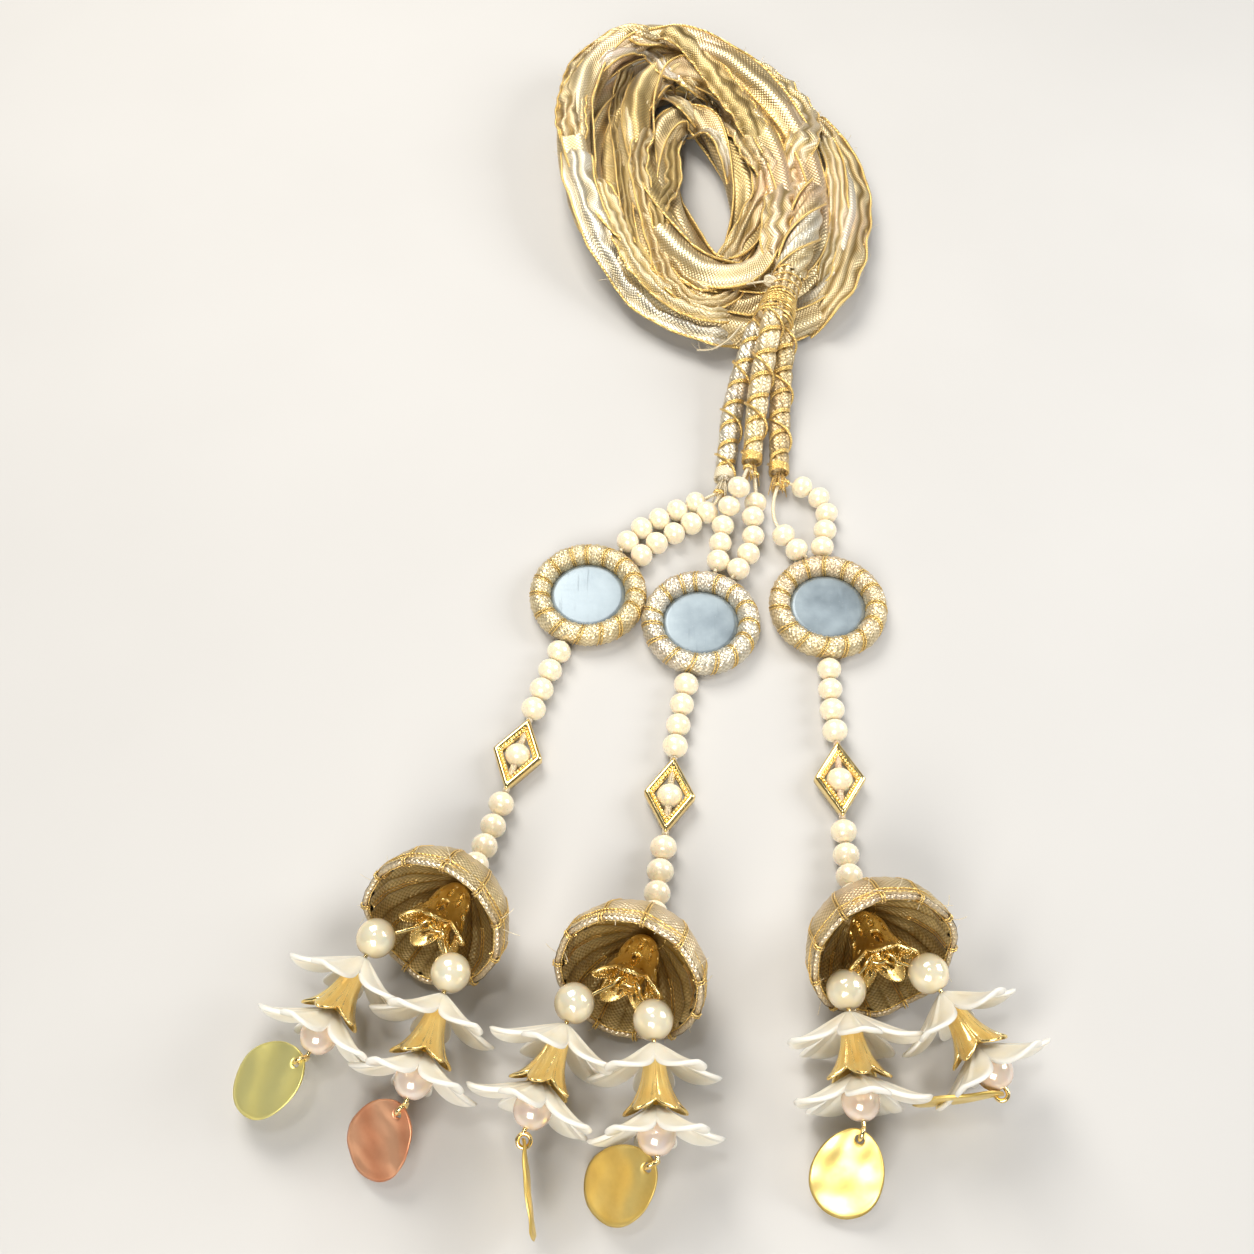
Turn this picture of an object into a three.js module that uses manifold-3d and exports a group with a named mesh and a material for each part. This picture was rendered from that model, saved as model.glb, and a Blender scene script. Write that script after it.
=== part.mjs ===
import * as THREE from "three";
import { mergeVertices } from "three/addons/utils/BufferGeometryUtils.js";
import Module from "manifold-3d";

// Braid tassel laid flat: a hank of metallic ribbon is gathered into a bound neck. Three wound
// stems leave the neck, and each carries a loop of pearls, a mirror disc, a string of pearls with
// a diamond frame, and a ribbon bell with two flower drops.
// Millimetres, +Z up. The hank lies at +Y and the drops at -Y. The origin is under the middle.

const wasm = await Module();
wasm.setup();

// Clearances
const gap = 0.3; // between pieces that touch or thread through each other
const linkGap = 0.35; // between wires that hang in one another

// Small pearls and their thread
const pearlWidth = 6.0;
const pearlLength = 5.5; // along the thread, a little flattened at the holes
const pearlSides = 10;
const threadRadius = 0.5;
const pearlsAboveDiamond = 4;
const pearlsBelowDiamond = 4;
const climbingPearls = 2; // the last pearls of a strand climb to the bell's top

// Mirror discs
const discRadius = 14.6;
const discHeight = 6.1;
const discBacking = 1.3;
const discWraps = 14;
const wrapDip = 0.3; // how far the ring sinks where two wraps meet
const mirrorRadius = 9.4;
const mirrorThickness = 1.5;

// Diamond frames
const diamondLength = 18.8;
const diamondWidth = 11.8;
const diamondBar = 1.9;
const diamondThickness = 2.8;
const diamondTubeRadius = 0.85;

// Ribbon bells
const bellRadius = 15.6;
const bellDepth = 15.2;
const bellTopRadius = 2.8;
const bellWall = 1.2;
const bellPanels = 11; // each is flat between its two seams
const bellTilt = 33; // degrees that the lying bell's axis rises towards its mouth

// Pierced caps inside the bells
const capLength = 13.0;
const capRadius = 6.5;
const capWall = 0.8;
const capPetals = 5;
const capSlotAt = 0.68; // place of the slots' middles, as a share of the cap's length
const capNotch = 2.9; // depth of the notches between its petals
const capSlotLength = 3.4;
const capSlotWidth = 1.4;
const capRise = 16; // degrees that the cap's axis rises from the bell's top to its mouth
const capInset = 2.4; // from the bell's top, along the bell's axis
const capRingRadius = 2.2;
const capRingAt = 9.0; // along the cap's axis

// Drops, measured along their own axis from the middle of the upper pearl
const upperPearlRadius = 4.0;
const lowerPearlRadius = 3.7;
const wireRadius = 0.42;
const pinLoopRadius = 1.5;
const eyeStalk = 0.8; // bare wire between the lower pearl and the eye
const flowerRadius = 13.6;
const flowerThickness = 1.1;
const petals = 5;
const upperFlowerCup = 3.8;
const lowerFlowerCup = 3.6;
const petalNarrow = 0.36; // radius of the notch between two petals, as a share of the flower's
const petalWidestAt = 0.64; // radius where a petal is widest, as a share of the flower's
const cupPower = 0.75; // a cup deepens quickly near its middle, then slowly
const trumpetLength = 10.6;
const trumpetTopRadius = 2.0;
const trumpetMouthRadius = 6.2;
const trumpetWall = 0.6;
const trumpetFloor = 0.8; // thickness of the trumpet's closed top round its bore
const trumpetSeat = 1.0; // how far the lower flower slides over the trumpet's mouth
const trumpetNotch = { deep: 1.8, drawn: 1.3 }; // between the points of its mouth

// Paillettes
const pailletteLength = 17.5;
const pailletteWidth = 13.6;
const pailletteThickness = 0.5;
const pailletteHoleRadius = 0.9;
const pailletteHoleAt = 1.75; // from the narrow end
const pailletteWidestAt = 9.8; // from the narrow end
// The eye goes through the hole and round the edge beside it.
const eyeRadius = (pailletteHoleAt + wireRadius + gap) / 2;

// Ribbon hank: each bundle is an oval ring of twisted ribbon
const bundleHalfWidth = 5.0;
const bundleHalfHeight = 4.1;
const bundleLobe = 0.1; // depth of the ribbon ridges, as a share
const bundleRidges = 3;
const bundleSides = 8;
const bundleSteps = 18;

// Neck and stems
const neckRadius = 4.5;
const neckLength = 22.0;
const stemRadius = 3.0;
const stemEndRadius = 2.3;

const goldRibbon = { color: 0xcdb98a, roughness: 0.45, metalness: 0.6 };
const pearlCoat = { color: 0xf3e6cc, roughness: 0.22, metalness: 0.1 };
const goldMetal = { color: 0xd8a93a, roughness: 0.25, metalness: 1.0 };
const mirrorGlass = { color: 0x8fa3b3, roughness: 0.12, metalness: 1.0 };
const frostedPetal = { color: 0xf6f2e6, roughness: 0.4, metalness: 0.0 };
const copperMetal = { color: 0xd98a63, roughness: 0.3, metalness: 1.0 };

// Oval bundles of the hank, as places and half-sizes in mm, with the tilt and the phase of the
// rise in degrees. Each middle line lies at `low` and rises by `rise` towards its phase.
const bundles = [
  { x: 27.7, y: 159.5, across: 39.2, along: 62.5, tilt: 12, low: 4.7, rise: 1.5, phase: 90, twist: 3 },
  { x: 20, y: 162.0, across: 35.0, along: 58.5, tilt: 14, low: 4.7, rise: 13.0, phase: 100, twist: -3 },
  { x: 27, y: 159.0, across: 28.5, along: 53.0, tilt: 12, low: 4.7, rise: 2.0, phase: 80, twist: 4 },
  { x: 24.5, y: 162.0, across: 20.5, along: 49.0, tilt: 10, low: 8.6, rise: 4.5, phase: 70, twist: -4 },
  { x: 24.0, y: 156.0, across: 12.5, along: 35.0, tilt: 8, low: 5.2, rise: 3.0, phase: 90, twist: 2 },
];

// Chosen places of the chains, stems and discs. Bead loops run from the stem to the disc.
const neckRoute = [[40.1, 89.5], [46.6, 111.0]];
const feedRoute = [[46.8, 111.6, 14.0], [49.6, 119.0, 15.0], [53.0, 131.0, 15.2], [55.0, 145.0, 15.0]];
const sides = [
  {
    side: "left",
    disc: [-9.7, 7.7],
    stem: [[35.8, 89.6, 10.8], [29.8, 70.7, 5.2], [25.6, 43.2, 3.1]],
    loops: [
      { bare: 1, route: [[24.0, 39.8, 3.1], [19.6, 37.3], [14.4, 34.7], [8.9, 31.5], [3.8, 28.2], [0.3, 24.1]] },
      { bare: 4, route: [[24.8, 39.4, 3.1], [22.2, 34.8], [18.3, 31.0], [13.6, 27.5], [8.4, 24.1], [4.3, 20.2]] },
    ],
    headings: [22, 17, 14, 16],
    bell: { heading: 23, thread: 2.2 },
  },
  {
    side: "middle",
    disc: [18.1, -0.5],
    stem: [[39.8, 88.4, 16.4], [35.8, 69.0, 9.4], [33.0, 47.4, 5.2]],
    loops: [
      { bare: 1, route: [[31.6, 44.0, 8.2], [29.4, 38.3, 8.6], [26.8, 34.2, 5.8], [25.0, 29.6, 3.4], [24.0, 24.2], [23.2, 18.3]] },
      { bare: 3, route: [[33.6, 44.0, 5.2], [33.8, 37.4, 3.4], [32.6, 31.6, 4.6], [32.4, 25.4, 3.4], [30.8, 19.8], [27.8, 14.9]] },
    ],
    headings: [13, 7.5, 7, 8.3],
    bell: { heading: 20, thread: 2.2 },
  },
  {
    side: "right",
    disc: [49.7, 4.1],
    stem: [[43.8, 87.3, 10.8], [42.2, 70.7, 5.2], [40.4, 45.6, 3.1]],
    loops: [
      { bare: 1, route: [[41.8, 43.0, 3.1], [46.4, 41.6], [50.6, 37.8], [52.0, 32.2], [50.8, 26.4], [49.8, 21.4]] },
      { bare: 11, route: [[39.7, 41.7, 3.4], [38.4, 36.6], [38.3, 31.0], [40.6, 25.4], [43.8, 20.8], [45.8, 18.8]] },
    ],
    headings: [4, -3, 1.5, 0],
    bell: { heading: -13, thread: 0.8 },
  },
];

// Drops: where each upper pearl lies from the middle of its bell's mouth, how the drop and its
// paillette point (degrees from -Y towards -X), how far the paillette falls towards its far end
// and how far it is rolled on its edge.
const drops = [
  { side: "left", name: "left_1", across: -9.8, ahead: 6.4, heading: 25, spin: 12, tag: 68, fall: 27, roll: 0 },
  { side: "left", name: "left_2", across: 7.4, ahead: 6.8, heading: 15, spin: 24, tag: 45, fall: 40, roll: 0 },
  { side: "middle", name: "middle_1", across: -8.6, ahead: 7.2, heading: 20.5, spin: 12, tag: -8, fall: 16, roll: 88 },
  { side: "middle", name: "middle_2", across: 7.0, ahead: 5.0, heading: -1, spin: 36, tag: 66, fall: 39, roll: 0 },
  { side: "right", name: "right_1", across: -8.6, ahead: 3.6, heading: -2, spin: 0, tag: 22, fall: 34, roll: 0 },
  { side: "right", name: "right_2", across: 8.0, ahead: 4.6, heading: -28, spin: 48, tag: 86, fall: 24, roll: 86 },
];
const copperDrop = "left_2";

// A closed geometry becomes a solid that can be joined and cut.
function solidOf(geometry) {
  const bare = geometry.clone();
  bare.deleteAttribute("normal");
  bare.deleteAttribute("uv");
  const merged = mergeVertices(bare, 1e-4);
  return new wasm.Manifold(
    new wasm.Mesh({
      numProp: 3,
      vertProperties: merged.attributes.position.array,
      triVerts: new Uint32Array(merged.index.array),
    }),
  );
}

// A joined or cut solid goes back to a flat-shaded geometry.
function geometryOf(solid) {
  const mesh = solid.getMesh();
  const indexed = new THREE.BufferGeometry();
  indexed.setAttribute("position", new THREE.BufferAttribute(mesh.vertProperties, 3));
  indexed.setIndex(new THREE.BufferAttribute(mesh.triVerts, 1));
  const flat = indexed.toNonIndexed();
  flat.computeVertexNormals();
  return flat;
}

function joined(geometries) {
  const [first, ...rest] = geometries.map(solidOf);
  return geometryOf(rest.reduce((whole, piece) => whole.add(piece), first));
}

function meshOf(name, geometry, finish) {
  const mesh = new THREE.Mesh(geometry, new THREE.MeshStandardMaterial(finish));
  mesh.name = name;
  return mesh;
}

// Moves each vertex of a geometry that was turned about Y. The function gets the vertex's radius,
// height and angle and returns the same three.
function reshape(geometry, change) {
  const position = geometry.attributes.position;
  for (let i = 0; i < position.count; i += 1) {
    const radius = Math.hypot(position.getX(i), position.getZ(i));
    const angle = Math.atan2(position.getX(i), position.getZ(i));
    const moved = change(radius, position.getY(i), angle);
    position.setXYZ(
      i,
      moved.radius * Math.sin(moved.angle),
      moved.height,
      moved.radius * Math.cos(moved.angle),
    );
  }
  geometry.computeVertexNormals();
  return geometry;
}

// Bends a geometry that was turned about Y so that its axis follows a curve.
function bendAlong(geometry, curve, length) {
  const position = geometry.attributes.position;
  const up = new THREE.Vector3(0, 0, 1);
  for (let i = 0; i < position.count; i += 1) {
    const share = THREE.MathUtils.clamp(position.getY(i) / length, 0, 1);
    const along = curve.getTangentAt(share);
    const across = new THREE.Vector3().crossVectors(along, up).normalize();
    const upright = new THREE.Vector3().crossVectors(across, along);
    const point = curve.getPointAt(share);
    point.addScaledVector(across, position.getX(i));
    point.addScaledVector(upright, position.getZ(i));
    position.setXYZ(i, point.x, point.y, point.z);
  }
  geometry.computeVertexNormals();
  return geometry;
}

function turned(profile, segments) {
  return new THREE.LatheGeometry(profile.map(([x, y]) => new THREE.Vector2(x, y)), segments);
}

// Half the outline of a pearl, as shares of its length and of its radius.
const smallPearlOutline = [
  { along: 0.24, out: 0.96 },
  { along: 0.76, out: 0.96 },
];
const largePearlOutline = [
  { along: 0.15, out: 0.72 },
  { along: 0.5, out: 1.0 },
  { along: 0.85, out: 0.72 },
];

// The profile of beads and bare thread in a row. It starts and ends on the axis.
function rowProfile(row) {
  const profile = [[0, 0], [row[0].thread, 0]];
  let at = 0;
  row.forEach((part) => {
    (part.outline || []).forEach(({ along, out }) => {
      profile.push([out * part.radius, at + along * part.length]);
    });
    at += part.length;
    profile.push([part.thread, at]);
  });
  profile.push([0, at]);
  return profile;
}

function pearl(length = pearlLength) {
  return { length, radius: pearlWidth / 2, outline: smallPearlOutline, thread: threadRadius };
}

function thread(length, radius = threadRadius) {
  return { length, thread: radius };
}

const lengthOf = (row) => row.reduce((sum, part) => sum + part.length, 0);
const headingOf = (degrees) => {
  const angle = THREE.MathUtils.degToRad(degrees);
  return new THREE.Vector3(-Math.sin(angle), -Math.cos(angle), 0);
};
const vector = ([x, y, z = 0]) => new THREE.Vector3(x, y, z);

// Stands a piece that was turned about Y at a point, with its Y along an axis and its Z upwards.
function stand(mesh, point, axis) {
  const across = new THREE.Vector3().crossVectors(axis, new THREE.Vector3(0, 0, 1)).normalize();
  const upright = new THREE.Vector3().crossVectors(across, axis);
  mesh.quaternion.setFromRotationMatrix(new THREE.Matrix4().makeBasis(across, axis, upright));
  mesh.position.copy(point);
  return mesh;
}

// A round bar with several sides along a curve.
function bar(curve, radius, barSides, steps) {
  const section = new THREE.Shape();
  for (let i = 0; i < barSides; i += 1) {
    const angle = (2 * Math.PI * i) / barSides;
    const corner = [radius * Math.cos(angle), radius * Math.sin(angle)];
    if (i === 0) section.moveTo(...corner);
    else section.lineTo(...corner);
  }
  return new THREE.ExtrudeGeometry(section, { steps, extrudePath: curve, bevelEnabled: false });
}

// One bundle of the hank: a ring whose section is turned round as it goes, with ribbon ridges.
function bundleRing(bundle) {
  const ring = new THREE.TorusGeometry(2, 1, bundleSides, bundleSteps);
  const position = ring.attributes.position;
  const tilt = THREE.MathUtils.degToRad(bundle.tilt);
  const phase = THREE.MathUtils.degToRad(bundle.phase);
  for (let i = 0; i < position.count; i += 1) {
    const [x, y, z] = [position.getX(i), position.getY(i), position.getZ(i)];
    const round = Math.atan2(y, x);
    const section = Math.atan2(z, Math.hypot(x, y) - 2);
    const ridge = 1 + bundleLobe * Math.cos(bundleRidges * section - bundle.twist * round);
    const out = bundleHalfWidth * ridge * Math.cos(section);
    const oval = new THREE.Vector2(
      (bundle.across + out) * Math.cos(round),
      (bundle.along + out) * Math.sin(round),
    );
    oval.rotateAround(new THREE.Vector2(), tilt);
    const middle = bundle.low + (bundle.rise * (1 + Math.cos(round + tilt - phase))) / 2;
    const height = middle + bundleHalfHeight * ridge * Math.sin(section);
    position.setXYZ(i, bundle.x + oval.x, bundle.y + oval.y, height);
  }
  return ring;
}

function ribbonHank() {
  const feed = bar(new THREE.CatmullRomCurve3(feedRoute.map(vector)), bundleHalfHeight, 8, 5);
  return meshOf("ribbon_hank", joined([...bundles.map(bundleRing), feed]), goldRibbon);
}

// The neck lies on the outer bundle, so its height follows from the bundle's.
const neckHeight = bundles[0].low + bundleHalfHeight * (1 + bundleLobe) + gap + neckRadius;
// Outline of the bound neck from the stems' end, as shares of its length and radius.
const neckOutline = [
  { along: 0, out: 1.56 },
  { along: 0.12, out: 1.6 },
  { along: 0.2, out: 1.0 },
  { along: 0.8, out: 0.92 },
  { along: 1, out: 0.96 },
];

function boundNeck() {
  const [start, end] = neckRoute.map(vector);
  const axis = end.sub(start).normalize();
  start.z = neckHeight;
  const profile = neckOutline.map(({ along, out }) => [out * neckRadius, along * neckLength]);
  const geometry = turned([[0, 0], ...profile, [0, neckLength]], 12);
  return stand(meshOf("bound_neck", geometry, goldRibbon), start, axis);
}

// Outline of a wound stem from its top, as shares of its length and radius.
const stemOutline = [
  { along: 0, out: 1 },
  { along: 0.3, out: 1.02 },
  { along: 0.6, out: 1 },
  { along: 0.88, out: 1.02 },
];

function woundStem({ side, stem }) {
  const curve = new THREE.CatmullRomCurve3(stem.map(vector));
  const length = curve.getLength();
  const profile = stemOutline.map(({ along, out }) => [out * stemRadius, along * length]);
  const geometry = turned([[0, 0], ...profile, [stemEndRadius, length], [0, length]], 8);
  return meshOf(`wound_stem_${side}`, bendAlong(geometry, curve, length), goldRibbon);
}

// The two strings between a stem and its disc. Each ends just outside the disc's edge, and starts
// with a stretch of bare thread.
function beadLoop({ side, disc, stem, loops }) {
  const centre = vector([...disc, pearlWidth / 2]);
  const strings = loops.map(({ bare, route }) => {
    const points = route.map(([x, y, z = pearlWidth / 2]) => vector([x, y, z]));
    const last = points[points.length - 1];
    points.push(last.clone().sub(centre).setLength(discRadius + gap).add(centre));
    const curve = new THREE.CatmullRomCurve3(points, false, "centripetal");
    const length = curve.getLength();
    const count = Math.floor((length - bare) / pearlLength);
    const end = 0.3 * (length - bare - count * pearlLength);
    const pearls = Array.from({ length: count }, () => pearl());
    const row = [thread(length - end - count * pearlLength), ...pearls, thread(end)];
    return bendAlong(turned(rowProfile(row), pearlSides), curve, length);
  });
  // A knot joins the two strings and hangs from the stem's end.
  const ends = loops.map(({ route }) => vector(route[0]));
  const knot = bar(new THREE.LineCurve3(...ends), threadRadius, 6, 1);
  const stemEnd = vector(stem[stem.length - 1]);
  const below = ends[0].clone().lerp(ends[1], 0.5);
  const reach = below.clone().sub(stemEnd).setLength(linkGap).add(stemEnd);
  const hanger = bar(new THREE.LineCurve3(below, reach), threadRadius, 6, 1);
  return meshOf(`bead_loop_${side}`, joined([...strings, knot, hanger]), pearlCoat);
}

// Section of a disc's padded ring from its outer foot over the top to the mirror's seat, as
// shares of the ring's width inwards from its edge and of its height.
const ringSection = [
  { inward: 0.34, up: 0 },
  { inward: 0, up: 0.42 },
  { inward: 0.24, up: 0.86 },
  { inward: 0.62, up: 1 },
  { inward: 1, up: 0.74 },
];

// The ring sits on a flat backing that closes it below.
function discRing({ side, disc }) {
  const seat = mirrorRadius + gap;
  const rim = discRadius - seat;
  const padding = ringSection.map(({ inward, up }) => [discRadius - inward * rim, up * discHeight]);
  const profile = [[0, 0], ...padding, [seat, discBacking], [0, discBacking]];
  const columns = 2 * discWraps;
  const step = (2 * Math.PI) / columns;
  const geometry = reshape(turned(profile, columns), (radius, height, angle) => {
    const onSeam = Math.abs(Math.round(angle / step)) % 2 === 1;
    const padded = radius > seat + wrapDip && height > wrapDip;
    const dip = onSeam && padded ? wrapDip : 0;
    return { radius: radius - dip, height: height - (height > discBacking ? dip : 0), angle };
  });
  const mesh = meshOf(`disc_ring_${side}`, geometry, goldRibbon);
  mesh.rotation.x = Math.PI / 2;
  mesh.position.set(...disc, 0);
  return mesh;
}

function discMirror({ side, disc }) {
  const glass = new THREE.CylinderGeometry(mirrorRadius, mirrorRadius, mirrorThickness, 20);
  const mesh = meshOf(`disc_mirror_${side}`, glass, mirrorGlass);
  mesh.rotation.x = Math.PI / 2;
  mesh.position.set(...disc, discBacking + gap + mirrorThickness / 2);
  return mesh;
}

// Outer slope of a bell from top to mouth, as shares of its depth and of its flare.
const bellOutline = [
  { along: 0, out: 0 },
  { along: 0.12, out: 0.36 },
  { along: 0.36, out: 0.76 },
  { along: 0.66, out: 0.97 },
  { along: 1, out: 1 },
];
const bellSlope = THREE.MathUtils.degToRad(bellTilt);
const bellSide = bellOutline.map(({ along, out }) => [
  bellTopRadius + out * (bellRadius - bellTopRadius),
  along * bellDepth,
]);

// The bell rests on its side, so its top is as high as its lowest point asks.
const bellTopHeight = Math.max(
  ...bellSide.map(([radius, along]) => radius * Math.cos(bellSlope) - along * Math.sin(bellSlope)),
);

// Slope of a strand's last pearls and of its bare thread up to the top of its bell.
function climbTo(bell) {
  const run = climbingPearls * pearlLength + bell.thread;
  return Math.asin((bellTopHeight - pearlWidth / 2) / run);
}

function bellPlace({ bell }, strandEnd) {
  const forward = headingOf(bell.heading);
  const axis = forward.clone().multiplyScalar(Math.cos(bellSlope));
  axis.z = Math.sin(bellSlope);
  const top = strandEnd.clone().addScaledVector(forward, bell.thread);
  top.z = bellTopHeight;
  const mouth = top.clone().addScaledVector(axis, bellDepth);
  return { forward, axis, top, mouth };
}

// Walks from a disc's edge down to the bell along headings that turn a little at each piece.
function strandWalk({ disc, headings, bell }) {
  const [first, second, frame, last] = headings;
  const start = vector([...disc, pearlWidth / 2]);
  start.addScaledVector(headingOf(first), discRadius + gap);
  const legs = [{ row: [thread(gap)], heading: first }];
  for (let i = 0; i < pearlsAboveDiamond; i += 1) {
    const share = i / (pearlsAboveDiamond - 1);
    legs.push({ row: [pearl()], heading: THREE.MathUtils.lerp(first, second, share) });
  }
  const half = (diamondLength - pearlLength) / 2 + gap;
  const tube = thread(half, diamondTubeRadius);
  legs.push({ row: [tube, { ...pearl(), thread: diamondTubeRadius }, tube], heading: frame });
  for (let i = 0; i < pearlsBelowDiamond; i += 1) {
    const climbs = i >= pearlsBelowDiamond - climbingPearls;
    legs.push({ row: [pearl()], heading: last, climb: climbs ? climbTo(bell) : 0 });
  }
  const path = new THREE.CurvePath();
  const row = [];
  const at = start.clone();
  let diamondMiddle = null;
  legs.forEach((leg) => {
    const climb = leg.climb || 0;
    const run = lengthOf(leg.row);
    const next = at.clone().addScaledVector(headingOf(leg.heading), run * Math.cos(climb));
    next.z += run * Math.sin(climb);
    path.add(new THREE.LineCurve3(at.clone(), next));
    if (leg.heading === frame) diamondMiddle = at.clone().lerp(next, 0.5);
    row.push(...leg.row);
    at.copy(next);
  });
  return { path, row, end: at, diamondMiddle };
}

// Strand of pearls: its thread runs from the last pearl to the middle of the bell's top.
function strand(side, walk, bell) {
  const tip = bell.top.clone().addScaledVector(bell.axis, -gap - threadRadius / 2);
  walk.path.add(new THREE.LineCurve3(walk.end.clone(), tip));
  const row = [...walk.row, thread(walk.end.distanceTo(tip))];
  const geometry = turned(rowProfile(row), pearlSides);
  return meshOf(`pearl_strand_${side.side}`, bendAlong(geometry, walk.path, lengthOf(row)), pearlCoat);
}

function rhombus(halfWidth, halfLength) {
  return new THREE.Shape([
    new THREE.Vector2(halfWidth, 0),
    new THREE.Vector2(0, halfLength),
    new THREE.Vector2(-halfWidth, 0),
    new THREE.Vector2(0, -halfLength),
  ]);
}

// The frame's bar is as wide all round, so its opening keeps the same slant.
function diamondFrame({ side, headings }, middle) {
  const [halfWidth, halfLength] = [diamondWidth / 2, diamondLength / 2];
  const slant = Math.hypot(halfWidth, halfLength);
  const innerWidth = halfWidth - (diamondBar * slant) / halfLength;
  const innerLength = halfLength - (diamondBar * slant) / halfWidth;
  const outline = rhombus(halfWidth, halfLength);
  outline.holes.push(rhombus(innerWidth, innerLength));
  const options = { depth: diamondThickness, bevelEnabled: false };
  const plate = new THREE.ExtrudeGeometry(outline, options).translate(0, 0, -diamondThickness / 2);
  const bore = new THREE.CylinderGeometry(
    diamondTubeRadius + gap, diamondTubeRadius + gap, diamondLength + 2, 8,
  );
  const geometry = geometryOf(solidOf(plate).subtract(solidOf(bore)));
  const mesh = meshOf(`diamond_frame_${side}`, geometry, goldMetal);
  mesh.rotation.z = THREE.MathUtils.degToRad(-headings[2]);
  mesh.position.set(middle.x, middle.y, pearlWidth / 2);
  return mesh;
}

function ribbonBell({ side }, bell) {
  const inside = bellSide.slice(1).reverse().map(([radius, along]) => [radius - bellWall, along]);
  const geometry = turned([[0, 0], ...bellSide, ...inside, [0, bellWall]], bellPanels);
  return stand(meshOf(`ribbon_bell_${side}`, geometry, goldRibbon), bell.top, bell.axis);
}

// Outline of a pierced cap, as shares of its length and radius.
const capOutline = [
  { along: 0, out: 0.26 },
  { along: 0.25, out: 0.5 },
  { along: 0.5, out: 0.56 },
  { along: 1, out: 1 },
];

function capPlace(bell) {
  const rise = THREE.MathUtils.degToRad(capRise);
  const axis = bell.forward.clone().multiplyScalar(Math.cos(rise));
  axis.z = Math.sin(rise);
  const top = bell.top.clone().addScaledVector(bell.axis, capInset);
  const ring = top.clone().addScaledVector(axis, capRingAt);
  return { axis, top, ring };
}

// The cap is a pierced tulip of metal with a wire ring inside, on which the drops hang.
function piercedCap({ side }, cap) {
  const outside = capOutline.map(({ along, out }) => [out * capRadius, along * capLength]);
  const inside = outside.slice(2).reverse().map(([radius, along]) => [radius - capWall, along]);
  const columns = 2 * capPetals;
  const petalStep = (2 * Math.PI) / capPetals;
  const shell = reshape(
    turned([[0, 0], ...outside, ...inside, [0, 1.5 * capWall]], columns),
    (radius, height, angle) => {
      const atTip = Math.abs(angle / petalStep - Math.round(angle / petalStep)) < 0.1;
      const notch = height > capLength - capNotch && !atTip ? capNotch : 0;
      return { radius, height: height - notch, angle };
    },
  );
  let solid = solidOf(shell);
  for (let i = 0; i < capPetals; i += 1) {
    const slot = new THREE.CylinderGeometry(0.5, 0.5, capRadius, 4);
    slot.scale(capSlotWidth, 1, capSlotLength).rotateX(Math.PI / 2);
    slot.translate(0, capSlotAt * capLength, capRadius).rotateY(i * petalStep);
    solid = solid.subtract(solidOf(slot));
  }
  const ring = new THREE.TorusGeometry(capRingRadius, wireRadius, 5, 12);
  ring.translate(0, capRingAt, 0);
  const stalkLength = capRingAt - capRingRadius;
  const stalk = new THREE.CylinderGeometry(wireRadius, wireRadius, stalkLength, 5);
  stalk.translate(0, stalkLength / 2 + capWall / 2, 0);
  const geometry = geometryOf(solid.add(solidOf(stalk)).add(solidOf(ring)));
  return stand(meshOf(`pierced_cap_${side}`, geometry, goldMetal), cap.top, cap.axis);
}

// Half angles of a petal at its tip and where it is widest.
const petalTip = THREE.MathUtils.degToRad(8);
const petalWidest = THREE.MathUtils.degToRad(21);

// A drop lies on the tips of its lowest petals. The first petal looks up when the spin is zero.
function dropHeight(spin) {
  const turn = THREE.MathUtils.degToRad(spin);
  const middles = Array.from({ length: petals }, (_, i) => (2 * Math.PI * i) / petals + turn);
  const corners = middles.flatMap((angle) => [angle - petalTip, angle + petalTip]);
  return Math.max(...corners.map((angle) => -flowerRadius * Math.cos(angle)));
}

// How far a cupped flower's face lies beyond its middle at a radius.
function cupDepth(cup, radius) {
  return cup * (radius / flowerRadius) ** cupPower;
}

// Places along a drop that follow from its sizes
const flowerHalf = flowerThickness / 2;
const upperFlowerAt = upperPearlRadius + flowerHalf;
const trumpetAt = upperFlowerAt + flowerHalf + cupDepth(upperFlowerCup, trumpetTopRadius) + gap;
const lowerFlowerAt = trumpetAt + trumpetLength - trumpetSeat;
const pearlSeat = flowerHalf + cupDepth(lowerFlowerCup, lowerPearlRadius / 2);
const lowerPearlAt = lowerFlowerAt + pearlSeat + lowerPearlRadius;
const wireEnd = lowerPearlAt + lowerPearlRadius + eyeStalk;
const boreRadius = wireRadius + gap;

// A flower of frosted petals: a disc with a bore whose edge is drawn in between the petals and
// whose face is cupped.
function flower(name, cup, spin) {
  const middle = petalWidestAt * flowerRadius;
  const profile = [
    [boreRadius, -flowerHalf],
    [middle, -flowerHalf],
    [flowerRadius, 0],
    [middle, flowerHalf],
    [boreRadius, flowerHalf],
    [boreRadius, -flowerHalf],
  ];
  const petalStep = (2 * Math.PI) / petals;
  const turn = THREE.MathUtils.degToRad(spin);
  const geometry = reshape(turned(profile, 3 * petals), (radius, height, angle) => {
    const nearest = Math.round(angle / petalStep);
    const isValley = Math.abs(angle / petalStep - nearest) < 0.01;
    const pulled = boreRadius + (radius - boreRadius) * (isValley ? petalNarrow : 1);
    const beside = Math.sign(angle / petalStep - nearest);
    const halfAngle = radius > middle + 0.01 ? petalTip : petalWidest;
    const centred = (nearest + beside / 2) * petalStep - beside * halfAngle;
    const turnedAngle = isValley || radius < middle - 0.01 ? angle : centred;
    const depth = cupDepth(cup, pulled);
    const rolled = turnedAngle + petalStep / 2 + turn;
    return { radius: pulled, height: height + depth, angle: rolled };
  });
  return meshOf(name, geometry, frostedPetal);
}

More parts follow.
